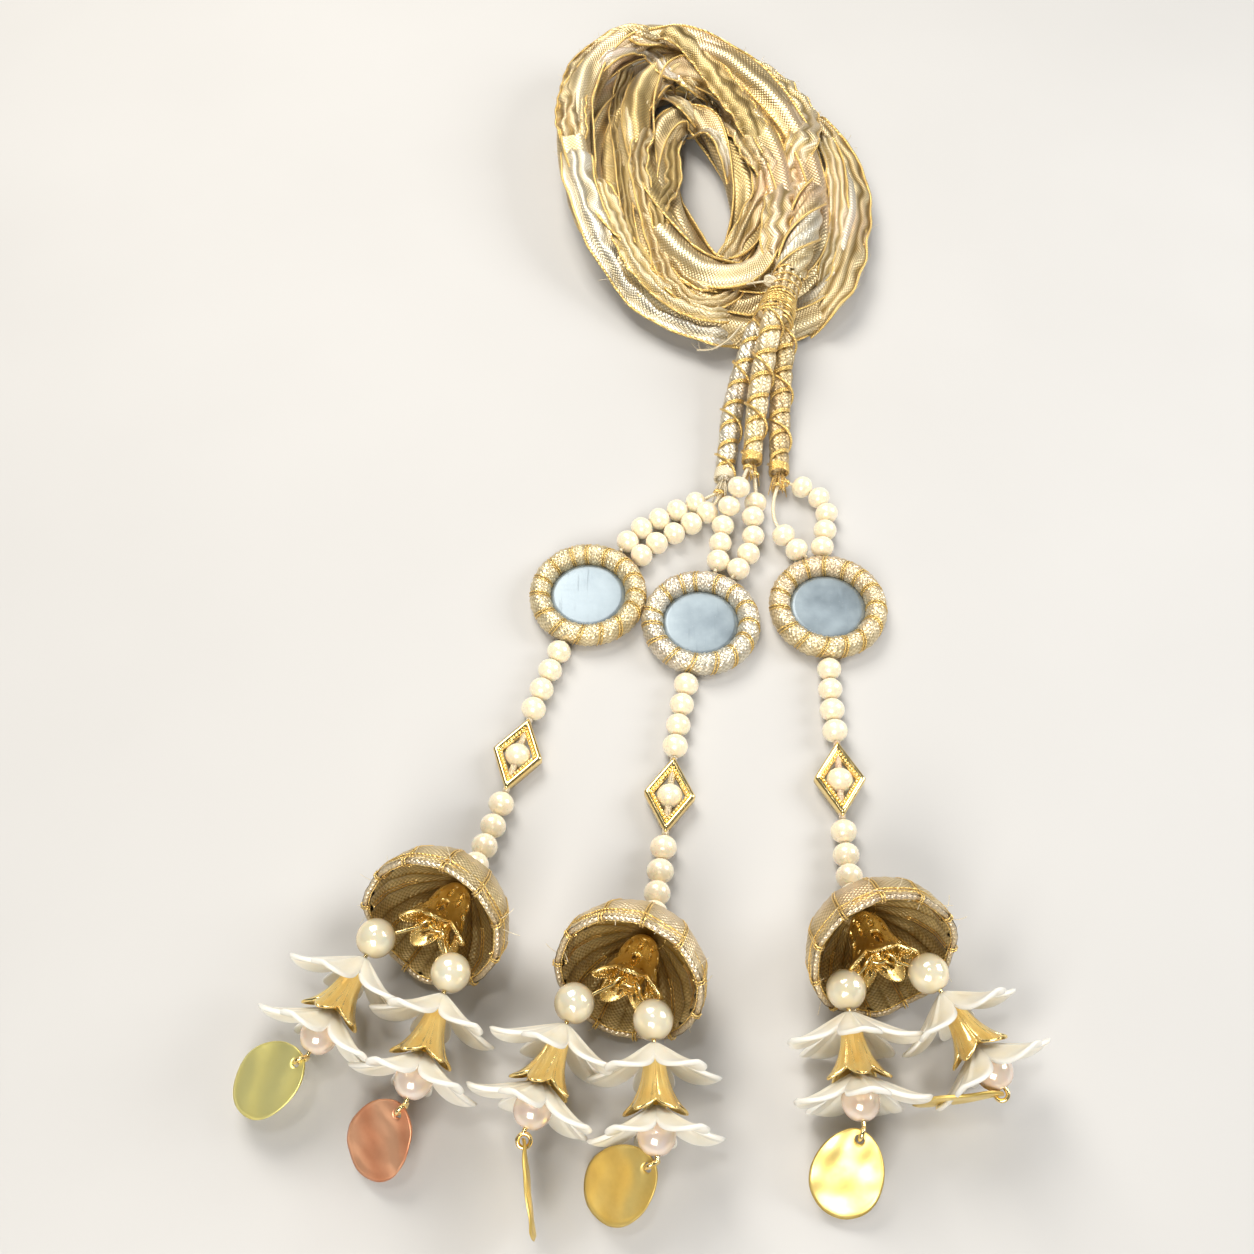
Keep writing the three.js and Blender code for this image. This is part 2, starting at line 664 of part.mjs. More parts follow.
// Outline of a trumpet from its top, as shares of its length and of its flare.
const trumpetOutline = [
  { along: 0, out: 0 },
  { along: 0.45, out: 0.16 },
  { along: 0.78, out: 0.52 },
  { along: 1, out: 1 },
];

function trumpet(name, spin) {
  const flare = trumpetMouthRadius - trumpetTopRadius;
  const outside = trumpetOutline.map(({ along, out }) => [
    trumpetTopRadius + out * flare,
    along * trumpetLength,
  ]);
  const inside = outside.slice(2).reverse().map(([radius, along]) => [radius - trumpetWall, along]);
  const profile = [
    [boreRadius, 0],
    ...outside,
    ...inside,
    [boreRadius, trumpetFloor],
    [boreRadius, 0],
  ];
  const columns = 2 * petals;
  const step = (2 * Math.PI) / columns;
  const turn = THREE.MathUtils.degToRad(spin);
  const geometry = reshape(turned(profile, columns), (radius, height, angle) => {
    const isPoint = Math.abs(Math.round(angle / step)) % 2 === 0;
    const notched = height > trumpetLength - trumpetNotch.deep && !isPoint;
    return {
      radius: notched ? radius - trumpetNotch.drawn : radius,
      height: notched ? height - trumpetNotch.deep : height,
      angle: angle + turn,
    };
  });
  return meshOf(name, geometry, goldMetal);
}

// Egg outline with its hole at the origin and its length towards +Y. The curves' handles are
// shares of the half-width and of the stretch between an end and the widest place.
const eggHandles = { nearEnd: 0.48, towardsNear: 0.42, farEnd: 0.55, towardsFar: 0.6 };

function paillette(name, finish) {
  const far = pailletteLength - pailletteHoleAt;
  const near = -pailletteHoleAt;
  const half = pailletteWidth / 2;
  const widest = pailletteWidestAt + near;
  const low = widest - eggHandles.towardsNear * (widest - near);
  const high = widest + eggHandles.towardsFar * (far - widest);
  const outline = new THREE.Shape();
  outline.moveTo(0, near);
  outline.bezierCurveTo(eggHandles.nearEnd * half, near, half, low, half, widest);
  outline.bezierCurveTo(half, high, eggHandles.farEnd * half, far, 0, far);
  outline.bezierCurveTo(-eggHandles.farEnd * half, far, -half, high, -half, widest);
  outline.bezierCurveTo(-half, low, -eggHandles.nearEnd * half, near, 0, near);
  outline.holes.push(new THREE.Path().absarc(0, 0, pailletteHoleRadius, 0, 2 * Math.PI, true));
  const options = { depth: pailletteThickness, bevelEnabled: false, curveSegments: 4 };
  const geometry = new THREE.ExtrudeGeometry(outline, options);
  return meshOf(name, geometry.translate(0, 0, -pailletteThickness / 2), finish);
}

// How a paillette hangs from its hole: along its length and square to its face.
function pailletteBasis({ tag, fall, roll }) {
  const drop = THREE.MathUtils.degToRad(fall);
  const along = headingOf(tag).multiplyScalar(Math.cos(drop));
  along.z = -Math.sin(drop);
  const level = new THREE.Vector3().crossVectors(along, new THREE.Vector3(0, 0, 1)).normalize();
  const face = new THREE.Vector3().crossVectors(level, along);
  return { along, face: face.applyAxisAngle(along, THREE.MathUtils.degToRad(roll)) };
}

// The wire of a drop with its two pearls, the loop that hangs on the cap's ring, and the eye.
function dropPin(name, pearlPlace, axis, cap, hang) {
  const [upper, lower] = [upperPearlRadius, lowerPearlRadius].map((radius) => {
    return { length: 2 * radius, radius, outline: largePearlOutline, thread: wireRadius };
  });
  const between = thread(lowerPearlAt - lowerPearlRadius - upperPearlRadius, wireRadius);
  const tail = thread(eyeStalk, wireRadius);
  const rowGeometry = turned(rowProfile([upper, between, lower, tail]), pearlSides);
  rowGeometry.translate(0, -upperPearlRadius, 0);
  const rowMesh = stand(new THREE.Mesh(rowGeometry), pearlPlace, axis);
  rowMesh.updateMatrix();
  rowGeometry.applyMatrix4(rowMesh.matrix);
  const away = pearlPlace.clone().sub(cap.ring).projectOnPlane(cap.normal).normalize();
  const loopShift = capRingRadius + pinLoopRadius - 2 * wireRadius - linkGap;
  const loopMiddle = cap.ring.clone().addScaledVector(away, loopShift);
  const loop = new THREE.TorusGeometry(pinLoopRadius, wireRadius, 5, 7);
  const side = new THREE.Vector3().crossVectors(away, cap.normal);
  loop.applyMatrix4(new THREE.Matrix4().makeBasis(away, cap.normal, side));
  loop.translate(...loopMiddle.toArray());
  const linkStart = loopMiddle.clone().addScaledVector(away, pinLoopRadius);
  const link = bar(new THREE.LineCurve3(linkStart, pearlPlace.clone()), wireRadius, 5, 1);
  const eyeStart = pearlPlace.clone().addScaledVector(axis, wireEnd);
  const eyeMiddle = eyeStart.clone().addScaledVector(hang.along, eyeRadius);
  const eye = new THREE.TorusGeometry(eyeRadius, wireRadius, 5, 6);
  const eyeNormal = new THREE.Vector3().crossVectors(hang.along, hang.face);
  eye.applyMatrix4(new THREE.Matrix4().makeBasis(hang.along, hang.face, eyeNormal));
  eye.translate(...eyeMiddle.toArray());
  return meshOf(name, joined([rowGeometry, link, loop, eye]), pearlCoat);
}

function flowerDrop(drop, bell, cap) {
  const group = new THREE.Group();
  const across = new THREE.Vector3().crossVectors(bell.forward, new THREE.Vector3(0, 0, 1)).negate();
  const place = bell.mouth.clone();
  place.addScaledVector(across, drop.across).addScaledVector(bell.forward, drop.ahead);
  place.z = dropHeight(drop.spin);
  const axis = headingOf(drop.heading);
  const hang = pailletteBasis(drop);
  group.add(dropPin(`drop_pin_${drop.name}`, place, axis, cap, hang));
  const at = (distance) => place.clone().addScaledVector(axis, distance);
  const upper = flower(`upper_flower_${drop.name}`, upperFlowerCup, drop.spin);
  const horn = trumpet(`trumpet_${drop.name}`, drop.spin);
  const lower = flower(`lower_flower_${drop.name}`, lowerFlowerCup, drop.spin);
  group.add(stand(upper, at(upperFlowerAt), axis));
  group.add(stand(horn, at(trumpetAt), axis));
  group.add(stand(lower, at(lowerFlowerAt), axis));
  const finish = drop.name === copperDrop ? copperMetal : goldMetal;
  const tag = paillette(`paillette_${drop.name}`, finish);
  const level = new THREE.Vector3().crossVectors(hang.along, hang.face);
  tag.quaternion.setFromRotationMatrix(new THREE.Matrix4().makeBasis(level, hang.along, hang.face));
  tag.position.copy(at(wireEnd)).addScaledVector(hang.along, 2 * eyeRadius);
  group.add(tag);
  return group;
}

function tasselSide(side) {
  const group = new THREE.Group();
  const walk = strandWalk(side);
  const bell = bellPlace(side, walk.end);
  const cap = capPlace(bell);
  cap.across = new THREE.Vector3().crossVectors(cap.axis, new THREE.Vector3(0, 0, 1)).normalize();
  cap.normal = new THREE.Vector3().crossVectors(cap.across, cap.axis);
  group.add(woundStem(side), beadLoop(side), discRing(side), discMirror(side));
  group.add(strand(side, walk, bell), diamondFrame(side, walk.diamondMiddle));
  group.add(ribbonBell(side, bell), piercedCap(side, cap));
  drops.filter((drop) => drop.side === side.side).forEach((drop) => {
    group.add(flowerDrop(drop, bell, cap));
  });
  return group;
}

const tassel = new THREE.Group();
tassel.add(ribbonHank(), boundNeck());
sides.forEach((side) => tassel.add(tasselSide(side)));

// The origin goes under the middle of the whole.
const extent = new THREE.Box3().setFromObject(tassel, true);
const middle = extent.getCenter(new THREE.Vector3());
tassel.position.set(-middle.x, -middle.y, -extent.min.z);

export default tassel;
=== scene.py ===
import logging
import math
from collections.abc import Callable
from dataclasses import dataclass, field
from enum import Enum

import bmesh
import bpy
import numpy as np
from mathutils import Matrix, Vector
from mathutils.bvhtree import BVHTree


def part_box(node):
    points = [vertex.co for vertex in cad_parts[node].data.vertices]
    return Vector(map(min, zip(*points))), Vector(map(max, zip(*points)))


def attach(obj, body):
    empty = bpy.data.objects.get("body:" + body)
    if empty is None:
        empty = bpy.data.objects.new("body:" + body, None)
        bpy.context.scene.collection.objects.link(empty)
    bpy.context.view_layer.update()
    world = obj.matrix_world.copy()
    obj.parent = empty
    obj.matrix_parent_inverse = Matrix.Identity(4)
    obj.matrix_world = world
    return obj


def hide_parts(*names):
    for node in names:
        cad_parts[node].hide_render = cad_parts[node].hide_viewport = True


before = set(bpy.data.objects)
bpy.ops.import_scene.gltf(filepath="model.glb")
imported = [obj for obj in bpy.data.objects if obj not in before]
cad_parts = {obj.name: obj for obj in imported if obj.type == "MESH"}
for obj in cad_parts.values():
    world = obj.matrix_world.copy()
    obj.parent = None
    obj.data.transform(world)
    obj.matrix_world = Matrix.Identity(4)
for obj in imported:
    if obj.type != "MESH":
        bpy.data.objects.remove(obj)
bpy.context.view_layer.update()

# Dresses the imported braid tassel. Shapes are worked out in layout millimetres: X to the right,
# Y away along the tassel, Z up from the floor, with the middle disc at DISCS["middle"]. The mesh
# maker moves them into the row frame and turns them into metres.

MM = 0.001
TURN = 2 * math.pi
UP = np.array([0.0, 0.0, 1.0])
LOG = logging.getLogger("braid_tassel")
WELD, SHORTEST_EDGE = 2e-6, 1e-7  # metres
SPAN_STEPS = 24  # points of a smooth route between two chosen points

DISCS = {"left": (-9.7, 7.7), "middle": (18.1, -0.5), "right": (49.7, 4.1)}


def layout_shift() -> np.ndarray:
    """The row-frame place of the layout's origin, in millimetres, read from the middle mirror."""
    low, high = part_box("disc_mirror_middle")
    centre = (np.array(low) + np.array(high)) / 2 / MM
    return np.array([centre[0] - DISCS["middle"][0], centre[1] - DISCS["middle"][1], 0.0])


SHIFT = layout_shift()


@dataclass(frozen=True)
class Viewpoint:
    """The photograph's viewpoint: a pinhole that looks down at the floor."""

    focal: float = 1190.0
    pitch: float = 58.0
    distance: float = 295.0
    size: float = 1254.0

    def eye(self) -> np.ndarray:
        """The eye's place in layout millimetres."""
        angle = math.radians(self.pitch)
        return self.distance * np.array([0.0, -math.cos(angle), math.sin(angle)])

    def place(self, across: float, down: float, height: float) -> np.ndarray:
        """Finds what lies under a picture point at a height above the floor.

        Args:
            across: picture pixels from the left edge.
            down: picture pixels from the top edge.
            height: millimetres above the floor.

        Returns:
            The point in layout millimetres.
        """
        angle = math.radians(self.pitch)
        forward = np.array([0.0, math.cos(angle), -math.sin(angle)])
        upward = np.array([0.0, math.sin(angle), math.cos(angle)])
        half = self.size / 2
        ray = forward + (half - down) / self.focal * upward
        ray = ray + (across - half) / self.focal * np.array([1.0, 0.0, 0.0])
        eye = self.eye()
        return eye + ray * (eye[2] - height) / -ray[2]

    def route(self, marks: tuple[tuple[float, float, float], ...]) -> np.ndarray:
        """The layout points under several picture points with heights."""
        return np.array([self.place(*mark) for mark in marks])


VIEW = Viewpoint()


def unit(vector: np.ndarray) -> np.ndarray:
    """The vectors at length one."""
    return vector / np.maximum(np.linalg.norm(vector, axis=-1, keepdims=True), 1e-9)


def turn_steps(count: int) -> np.ndarray:
    """Even angles of one whole turn in radians, without its end."""
    return np.linspace(0, TURN, count, endpoint=False)


def flat_grid(across: np.ndarray, along: np.ndarray) -> np.ndarray:
    """Places on flat cloth for each pair of a place across it and a place along it."""
    return np.stack(np.meshgrid(across, along), axis=2)


def rounded_ends(at: np.ndarray, first: float, last: float, whole: float = 1.0) -> np.ndarray:
    """Shares of the full radius that close a body at both ends over two short lengths."""
    return np.minimum(1, np.minimum(at / first, (whole - at) / last)) ** 0.5


def circle(
    middle: np.ndarray, radius: float, first: np.ndarray, second: np.ndarray, count: int
) -> np.ndarray:
    """A ring of points in the plane of two directions."""
    lean = turn_steps(count)[:, None]
    return middle + radius * (np.cos(lean) * first + np.sin(lean) * second)


def there_and_back(there: np.ndarray, back: np.ndarray | None = None) -> np.ndarray:
    """Rows of one face and, in reverse, of the other, which share the last row."""
    return np.concatenate([there, (there if back is None else back)[::-1][1:]])


def scene_point(point: np.ndarray) -> Vector:
    """A layout point in the row frame, in metres."""
    return Vector(((point + SHIFT) * MM).tolist())


def linked(name: str, data: bpy.types.ID) -> bpy.types.Object:
    """Makes an object of some data and links it to the scene."""
    made = bpy.data.objects.new(name, data)
    bpy.context.scene.collection.objects.link(made)
    return made


def heading(degrees: float) -> np.ndarray:
    """A level direction, in degrees from -Y towards -X."""
    angle = math.radians(degrees)
    return np.array([-math.sin(angle), -math.cos(angle), 0.0])


def smooth_route(points: np.ndarray, steps: int, closed: bool = False) -> np.ndarray:
    """Runs an even, smooth path through chosen points.

    Args:
        points: the chosen points.
        steps: how many points the path gets.
        closed: whether it joins its own start.

    Returns:
        The path's points, evenly spaced.
    """
    points = np.asarray(points, float)
    count = len(points)
    if closed:
        padded = np.concatenate([points[-1:], points, points[:2]])
        spans = count
    else:
        first, last = 2 * points[0] - points[1], 2 * points[-1] - points[-2]
        padded = np.concatenate([[first], points, [last]])
        spans = count - 1
    share = np.linspace(0, 1, SPAN_STEPS, endpoint=False)[:, None]
    gaps = np.linalg.norm(np.diff(padded, axis=0), axis=1) ** 0.5
    dense = []
    for i in range(spans):
        a, b, c, d = padded[i : i + 4]
        before, here, after = gaps[i : i + 3]
        leave = ((b - a) / before - (c - a) / (before + here) + (c - b) / here) * here
        arrive = ((c - b) / here - (d - b) / (here + after) + (d - c) / after) * here
        bend = 3 * (c - b) - 2 * leave - arrive
        curl = 2 * (b - c) + leave + arrive
        dense.append(b + leave * share + bend * share**2 + curl * share**3)
    path = np.concatenate(dense + [points[:1] if closed else points[-1:]])
    lengths = np.concatenate([[0], np.cumsum(np.linalg.norm(np.diff(path, axis=0), axis=1))])
    wanted = np.linspace(0, lengths[-1], steps, endpoint=not closed)
    return np.stack([np.interp(wanted, lengths, path[:, k]) for k in range(3)], axis=1)


def path_length(path: np.ndarray, closed: bool = False) -> float:
    """Length of a path in its own units."""
    whole = np.concatenate([path, path[:1]]) if closed else path
    return float(np.linalg.norm(np.diff(whole, axis=0), axis=1).sum())


def path_frames(path: np.ndarray, closed: bool = False) -> tuple[np.ndarray, ...]:
    """Directions along, across and up from a path that runs roughly level.

    Args:
        path: the path's points.
        closed: whether it joins its own start.

    Returns:
        The unit vectors along it, level across it, and square to both.
    """
    if closed:
        along = unit(np.roll(path, -1, axis=0) - np.roll(path, 1, axis=0))
    else:
        along = unit(np.gradient(path, axis=0))
    across = unit(np.cross(along, UP))
    return along, across, np.cross(across, along)


def ripple(seed: int, first: np.ndarray, second: np.ndarray, waves: int = 4) -> np.ndarray:
    """Smooth made-up unevenness between about -1 and 1.

    Args:
        seed: which pattern.
        first: coordinate in waves along one way.
        second: coordinate in waves along the other way.
        waves: how many waves are laid over each other.

    Returns:
        The unevenness at each place.
    """
    chance = np.random.default_rng(seed)
    total = np.zeros(np.broadcast(first, second).shape)
    for _ in range(waves):
        turn = chance.uniform(0, TURN)
        pace = chance.uniform(0.6, 1.9)
        wave = TURN * pace * (math.cos(turn) * first + math.sin(turn) * second)
        total = total + np.sin(wave + chance.uniform(0, TURN))
    return total / waves**0.5


def whole_ripple(seed: int, around: np.ndarray, most: int, waves: int = 4) -> np.ndarray:
    """Unevenness round a closed ring, from whole waves only, so that it meets itself.

    Args:
        seed: which pattern.
        around: the angle in radians.
        most: the highest number of waves in one round.
        waves: how many waves are laid over each other.

    Returns:
        The unevenness at each angle.
    """
    chance = np.random.default_rng(seed)
    total = np.zeros(np.shape(around))
    for _ in range(waves):
        total = total + np.sin(chance.integers(1, most + 1) * around + chance.uniform(0, 6.3))
    return total / waves**0.5


class Skin:
    """Collects grids of points and makes one mesh of them."""

    def __init__(self) -> None:
        """Starts empty."""
        self.points: list[np.ndarray] = []
        self.faces: list[np.ndarray] = []
        self.corners: list[np.ndarray] = []
        self.masks: list[np.ndarray] = []
        self.count = 0

    def grid(
        self,
        points: np.ndarray,
        flat: np.ndarray | None = None,
        around: bool = False,
        along: bool = False,
        mask: np.ndarray | float = 0.0,
    ) -> None:
        """Adds a grid of quads.

        Args:
            points: rows by columns by 3, in layout millimetres.
            flat: rows by columns by 2, the place on the flat cloth or plate in millimetres. It has
                one more row or column than points where the grid closes that way.
            around: whether the last column joins the first.
            along: whether the last row joins the first.
            mask: a value for each point that materials read as "depth".
        """
        rows, columns = points.shape[:2]
        down, over = rows + int(along), columns + int(around)
        if flat is None:
            flat = flat_grid(np.arange(over), np.arange(down)).astype(float)
        index = np.arange(rows * columns).reshape(rows, columns) + self.count
        if around:
            index = np.concatenate([index, index[:, :1]], axis=1)
        if along:
            index = np.concatenate([index, index[:1]], axis=0)

        def quads(values: np.ndarray) -> np.ndarray:
            """The four corners of each cell."""
            cells = (values[:-1, :-1], values[:-1, 1:], values[1:, 1:], values[1:, :-1])
            return np.stack(cells, axis=2)

        self.faces.append(quads(index).reshape(-1, 4))
        self.corners.append(quads(flat[:down, :over]).reshape(-1, 2))
        self.points.append(points.reshape(-1, 3))
        self.masks.append(np.broadcast_to(mask, (rows, columns)).reshape(-1))
        self.count += rows * columns

    def build(
        self, name: str, material: bpy.types.Material, closed: bool = True, weld: bool = True
    ) -> bpy.types.Object:
        """Makes the object, with its place in its mesh.

        Args:
            name: the piece's name.
            material: its finish.
            closed: whether it is a closed body whose faces are turned outwards.
            weld: whether points at one place are joined.

        Returns:
            The new object.
        """
        points = (np.concatenate(self.points) + SHIFT) * MM
        faces = np.concatenate(self.faces)
        mesh = bpy.data.meshes.new(name)
        mesh.from_pydata(points.tolist(), [], faces.tolist())
        layer = mesh.uv_layers.new(name="flat")
        layer.data.foreach_set("uv", np.concatenate(self.corners).astype(np.float32).ravel())
        depth = mesh.attributes.new("depth", "FLOAT", "POINT")
        depth.data.foreach_set("value", np.concatenate(self.masks).astype(np.float32))
        if weld or closed:
            work = bmesh.new()
            work.from_mesh(mesh)
            bmesh.ops.remove_doubles(work, verts=work.verts, dist=WELD)
            bmesh.ops.dissolve_degenerate(work, edges=work.edges, dist=SHORTEST_EDGE)
            if closed:
                bmesh.ops.recalc_face_normals(work, faces=work.faces)
            work.to_mesh(mesh)
            work.free()
        mesh.shade_smooth()
        mesh.materials.append(material)
        return linked(name, mesh)


def wires_mesh(name: str, paths: list[np.ndarray], closed: bool = False) -> bpy.types.Object:
    """Makes an object of bare edges that a node tree grows into threads or beads.

    Args:
        name: the object's name.
        paths: the paths, in layout millimetres.
        closed: whether each path joins its own start.

    Returns:
        The object of edges.
    """
    points: list[np.ndarray] = []
    edges: list[tuple[int, int]] = []
    count = 0
    for path in paths:
        size = len(path)
        points.append((path + SHIFT) * MM)
        edges.extend((count + i, count + i + 1) for i in range(size - 1))
        if closed:
            edges.append((count + size - 1, count))
        count += size
    mesh = bpy.data.meshes.new(name)
    mesh.from_pydata(np.concatenate(points).tolist(), edges, [])
    return linked(name, mesh)


class GeometryTree:
    """A geometry node tree with named inputs, built in the script."""

    def __init__(self, name: str, inputs: dict[str, float | int | str]) -> None:
        """Starts a tree that also takes a geometry and a finish.

        Args:
            name: the tree's name.
            inputs: the usual value of each named number, or the kind of any other socket.
        """
        self.tree = bpy.data.node_groups.new(name, "GeometryNodeTree")
        face = self.tree.interface
        kinds = {float: "NodeSocketFloat", int: "NodeSocketInt"}
        face.new_socket("Geometry", in_out="INPUT", socket_type="NodeSocketGeometry")
        for label, value in {**inputs, "Finish": "NodeSocketMaterial"}.items():
            kind = kinds.get(type(value), value)
            socket = face.new_socket(label, in_out="INPUT", socket_type=kind)
            if type(value) in kinds:
                socket.default_value = value
        face.new_socket("Geometry", in_out="OUTPUT", socket_type="NodeSocketGeometry")
        self.start = self.tree.nodes.new("NodeGroupInput")
        self.end = self.tree.nodes.new("NodeGroupOutput")

    def node(self, kind: str, settings: dict | None = None, **links: object) -> bpy.types.Node:
        """Adds a node.

        Args:
            kind: the node's type.
            settings: its own settings, set first.
            links: values or output sockets for its inputs, with underscores for spaces.

        Returns:
            The new node.
        """
        made = self.tree.nodes.new(kind)
        for key, value in (settings or {}).items():
            setattr(made, key, value)
        for label, value in links.items():
            self.feed(made.inputs[label.replace("_", " ")], value)
        return made

    def feed(self, socket: bpy.types.NodeSocket, value: object) -> None:
        """Links or sets one input of a node."""
        if isinstance(value, bpy.types.NodeSocket):
            self.tree.links.new(value, socket)
        else:
            socket.default_value = value

    def given(self, label: str) -> bpy.types.NodeSocket:
        """The socket of a named input."""
        return self.start.outputs[label]

    def attribute(self, label: str, kind: str = "FLOAT") -> bpy.types.NodeSocket:
        """A value that each point brings."""
        settings = {"data_type": kind}
        return self.node("GeometryNodeInputNamedAttribute", settings, Name=label).outputs[0]

    def stretches(self, pitch: str) -> bpy.types.NodeSocket:
        """The starting edges as curves, in even stretches of a named input's length."""
        curve = self.node("GeometryNodeMeshToCurve", Mesh=self.given("Geometry"))
        even = self.node(
            "GeometryNodeResampleCurve", {"mode": "LENGTH"}, Curve=curve.outputs[0],
            Length=self.given(pitch),
        )
        return even.outputs[0]

    def chance(self, low: object, high: object, seed: object) -> bpy.types.NodeSocket:
        """A number or a vector for each point, drawn between two bounds."""
        kind, first, drawn = ("FLOAT", 2, 1) if isinstance(low, float) else ("FLOAT_VECTOR", 0, 0)
        made = self.node("FunctionNodeRandomValue", {"data_type": kind}, Seed=seed)
        made.inputs[first].default_value = low
        made.inputs[first + 1].default_value = high
        return made.outputs[drawn]

    def maths(self, operation: str, *values: object) -> bpy.types.NodeSocket:
        """One sum of numbers."""
        made = self.node("ShaderNodeMath", {"operation": operation})
        for socket, value in zip(made.inputs, values):
            self.feed(socket, value)
        return made.outputs[0]

    def swept(
        self, curve: bpy.types.NodeSocket, sides: object, radius: object, **more: object
    ) -> bpy.types.Node:
        """A round section swept along curves."""
        ring = self.node(
            "GeometryNodeCurvePrimitiveCircle", {"mode": "RADIUS"}, Resolution=sides, Radius=radius
        )
        return self.node(
            "GeometryNodeCurveToMesh", Curve=curve, Profile_Curve=ring.outputs[0], **more
        )

    def scattered(self, **links: object) -> bpy.types.NodeSocket:
        """A copy of a shape on each point, with its own turn and size."""
        return self.node("GeometryNodeInstanceOnPoints", **links).outputs[0]

    def finish(self, geometry: bpy.types.NodeSocket) -> None:
        """Ends the tree with real geometry in its material."""
        real = self.node("GeometryNodeRealizeInstances", Geometry=geometry)
        dress = self.node(
            "GeometryNodeSetMaterial", Geometry=real.outputs[0], Material=self.given("Finish")
        )
        self.tree.links.new(dress.outputs[0], self.end.inputs[0])

    def grow(self, name: str, seed_piece: bpy.types.Object, values: dict) -> bpy.types.Object:
        """Runs the tree on an object and keeps the result as a plain mesh.

        Args:
            name: the piece's name.
            seed_piece: the object the tree starts from, which is removed.
            values: the named inputs' values.

        Returns:
            The finished piece.
        """
        modifier = seed_piece.modifiers.new("grow", "NODES")
        modifier.node_group = self.tree
        for item in self.tree.interface.items_tree:
            if item.item_type == "SOCKET" and item.in_out == "INPUT" and item.name in values:
                modifier[item.identifier] = values[item.name]
        graph = bpy.context.evaluated_depsgraph_get()
        mesh = bpy.data.meshes.new_from_object(seed_piece.evaluated_get(graph))
        mesh.name = name
        mesh.shade_smooth()
        bpy.data.objects.remove(seed_piece)
        return linked(name, mesh)


def thread_tree() -> GeometryTree:
    """Threads, cords and wires: a round section swept along each path, a little uneven."""
    inputs = {"Radius": 0.0003, "Step": 0.001, "Sides": 6, "Unevenness": 0.1}
    made = GeometryTree("threads_along_paths", inputs)
    share = made.maths("MULTIPLY_ADD", made.chance(-1.0, 1.0, 7), made.given("Unevenness"), 1.0)
    sized = made.node("GeometryNodeSetCurveRadius", Curve=made.stretches("Step"), Radius=share)
    swept = made.swept(sized.outputs[0], made.given("Sides"), made.given("Radius"), Fill_Caps=True)
    if "Scale" in swept.inputs:
        made.tree.links.new(share, swept.inputs["Scale"])
    made.finish(swept.outputs[0])
    return made


def bead_tree() -> GeometryTree:
    """Rows of tiny beads: picot edges, milgrain borders and granulation."""
    made = GeometryTree("beads_along_paths", {"Radius": 0.0004, "Pitch": 0.0009})
    bead = made.node("GeometryNodeMeshIcoSphere", Subdivisions=1, Radius=made.given("Radius"))
    placed = made.scattered(
        Points=made.stretches("Pitch"), Instance=bead.outputs[0], Scale=made.chance(0.88, 1.1, 11)
    )
    made.finish(placed)
    return made


def pearl_tree() -> GeometryTree:
    """Pearls on points: each point brings its thread's direction, its size and its tint."""
    made = GeometryTree("pearls_on_points", {"Pearl": "NodeSocketObject"})
    axis = made.attribute("axis", "FLOAT_VECTOR")
    turn = made.node("FunctionNodeAlignRotationToVector", {"axis": "Z"}, Vector=axis)
    shape = made.node("GeometryNodeObjectInfo", Object=made.given("Pearl"))
    placed = made.scattered(
        Points=made.given("Geometry"), Instance=shape.outputs["Geometry"], Rotation=turn.outputs[0],
        Scale=made.attribute("size"),
    )
    kept = made.node(
        "GeometryNodeStoreNamedAttribute", {"data_type": "FLOAT", "domain": "INSTANCE"},
        Geometry=placed, Name="depth", Value=made.attribute("tint"),
    )
    made.finish(kept.outputs[0])
    return made


def fibre_tree() -> GeometryTree:
    """Short loose fibres that stand off a path at chance angles."""
    inputs = {"Spacing": 0.001, "Length": 0.003, "Radius": 0.00005, "Seed": 3}
    made = GeometryTree("loose_fibres", inputs)
    bend = {"Start": (0, 0, 0), "Middle": (0.15, 0.1, 0.6), "End": (0.5, 0.3, 1.0)}
    bent = made.node("GeometryNodeCurveQuadraticBezier", Resolution=5, **bend)
    seed = made.given("Seed")
    size = made.maths("MULTIPLY", made.chance(0.35, 1.0, seed), made.given("Length"))
    placed = made.scattered(
        Points=made.stretches("Spacing"), Instance=made.swept(bent.outputs[0], 4, 0.02).outputs[0],
        Rotation=made.chance((-1.2, -1.2, 0.0), (1.2, 1.2, 6.28), seed), Scale=size,
    )
    made.finish(placed)
    return made


Colour = tuple[float, float, float]


class Value:
    """A shader value that does maths by operators."""

    def __init__(self, paint: "Paint", socket: bpy.types.NodeSocket) -> None:
        """Holds a socket of a paint."""
        self.paint = paint
        self.socket = socket

    def __add__(self, other: "Value | float") -> "Value":
        """Sum."""
        return self.paint.maths("ADD", self, other)

    __radd__ = __add__

    def __sub__(self, other: "Value | float") -> "Value":
        """Difference."""
        return self.paint.maths("SUBTRACT", self, other)

    def __rsub__(self, other: float) -> "Value":
        """Difference from a number."""
        return self.paint.maths("SUBTRACT", other, self)

    def __mul__(self, other: "Value | float") -> "Value":
        """Product."""
        return self.paint.maths("MULTIPLY", self, other)

    __rmul__ = __mul__

    def sine(self) -> "Value":
        """Sine of an angle in radians."""
        return self.paint.maths("SINE", self, 0.0)

    def within(self, low: float, high: float) -> "Value":
        """Share of the way from low to high, kept between 0 and 1."""
        bounds = {"From_Min": low, "From_Max": high}
        return self.paint.value("ShaderNodeMapRange", {"clamp": True}, Value=self, **bounds)


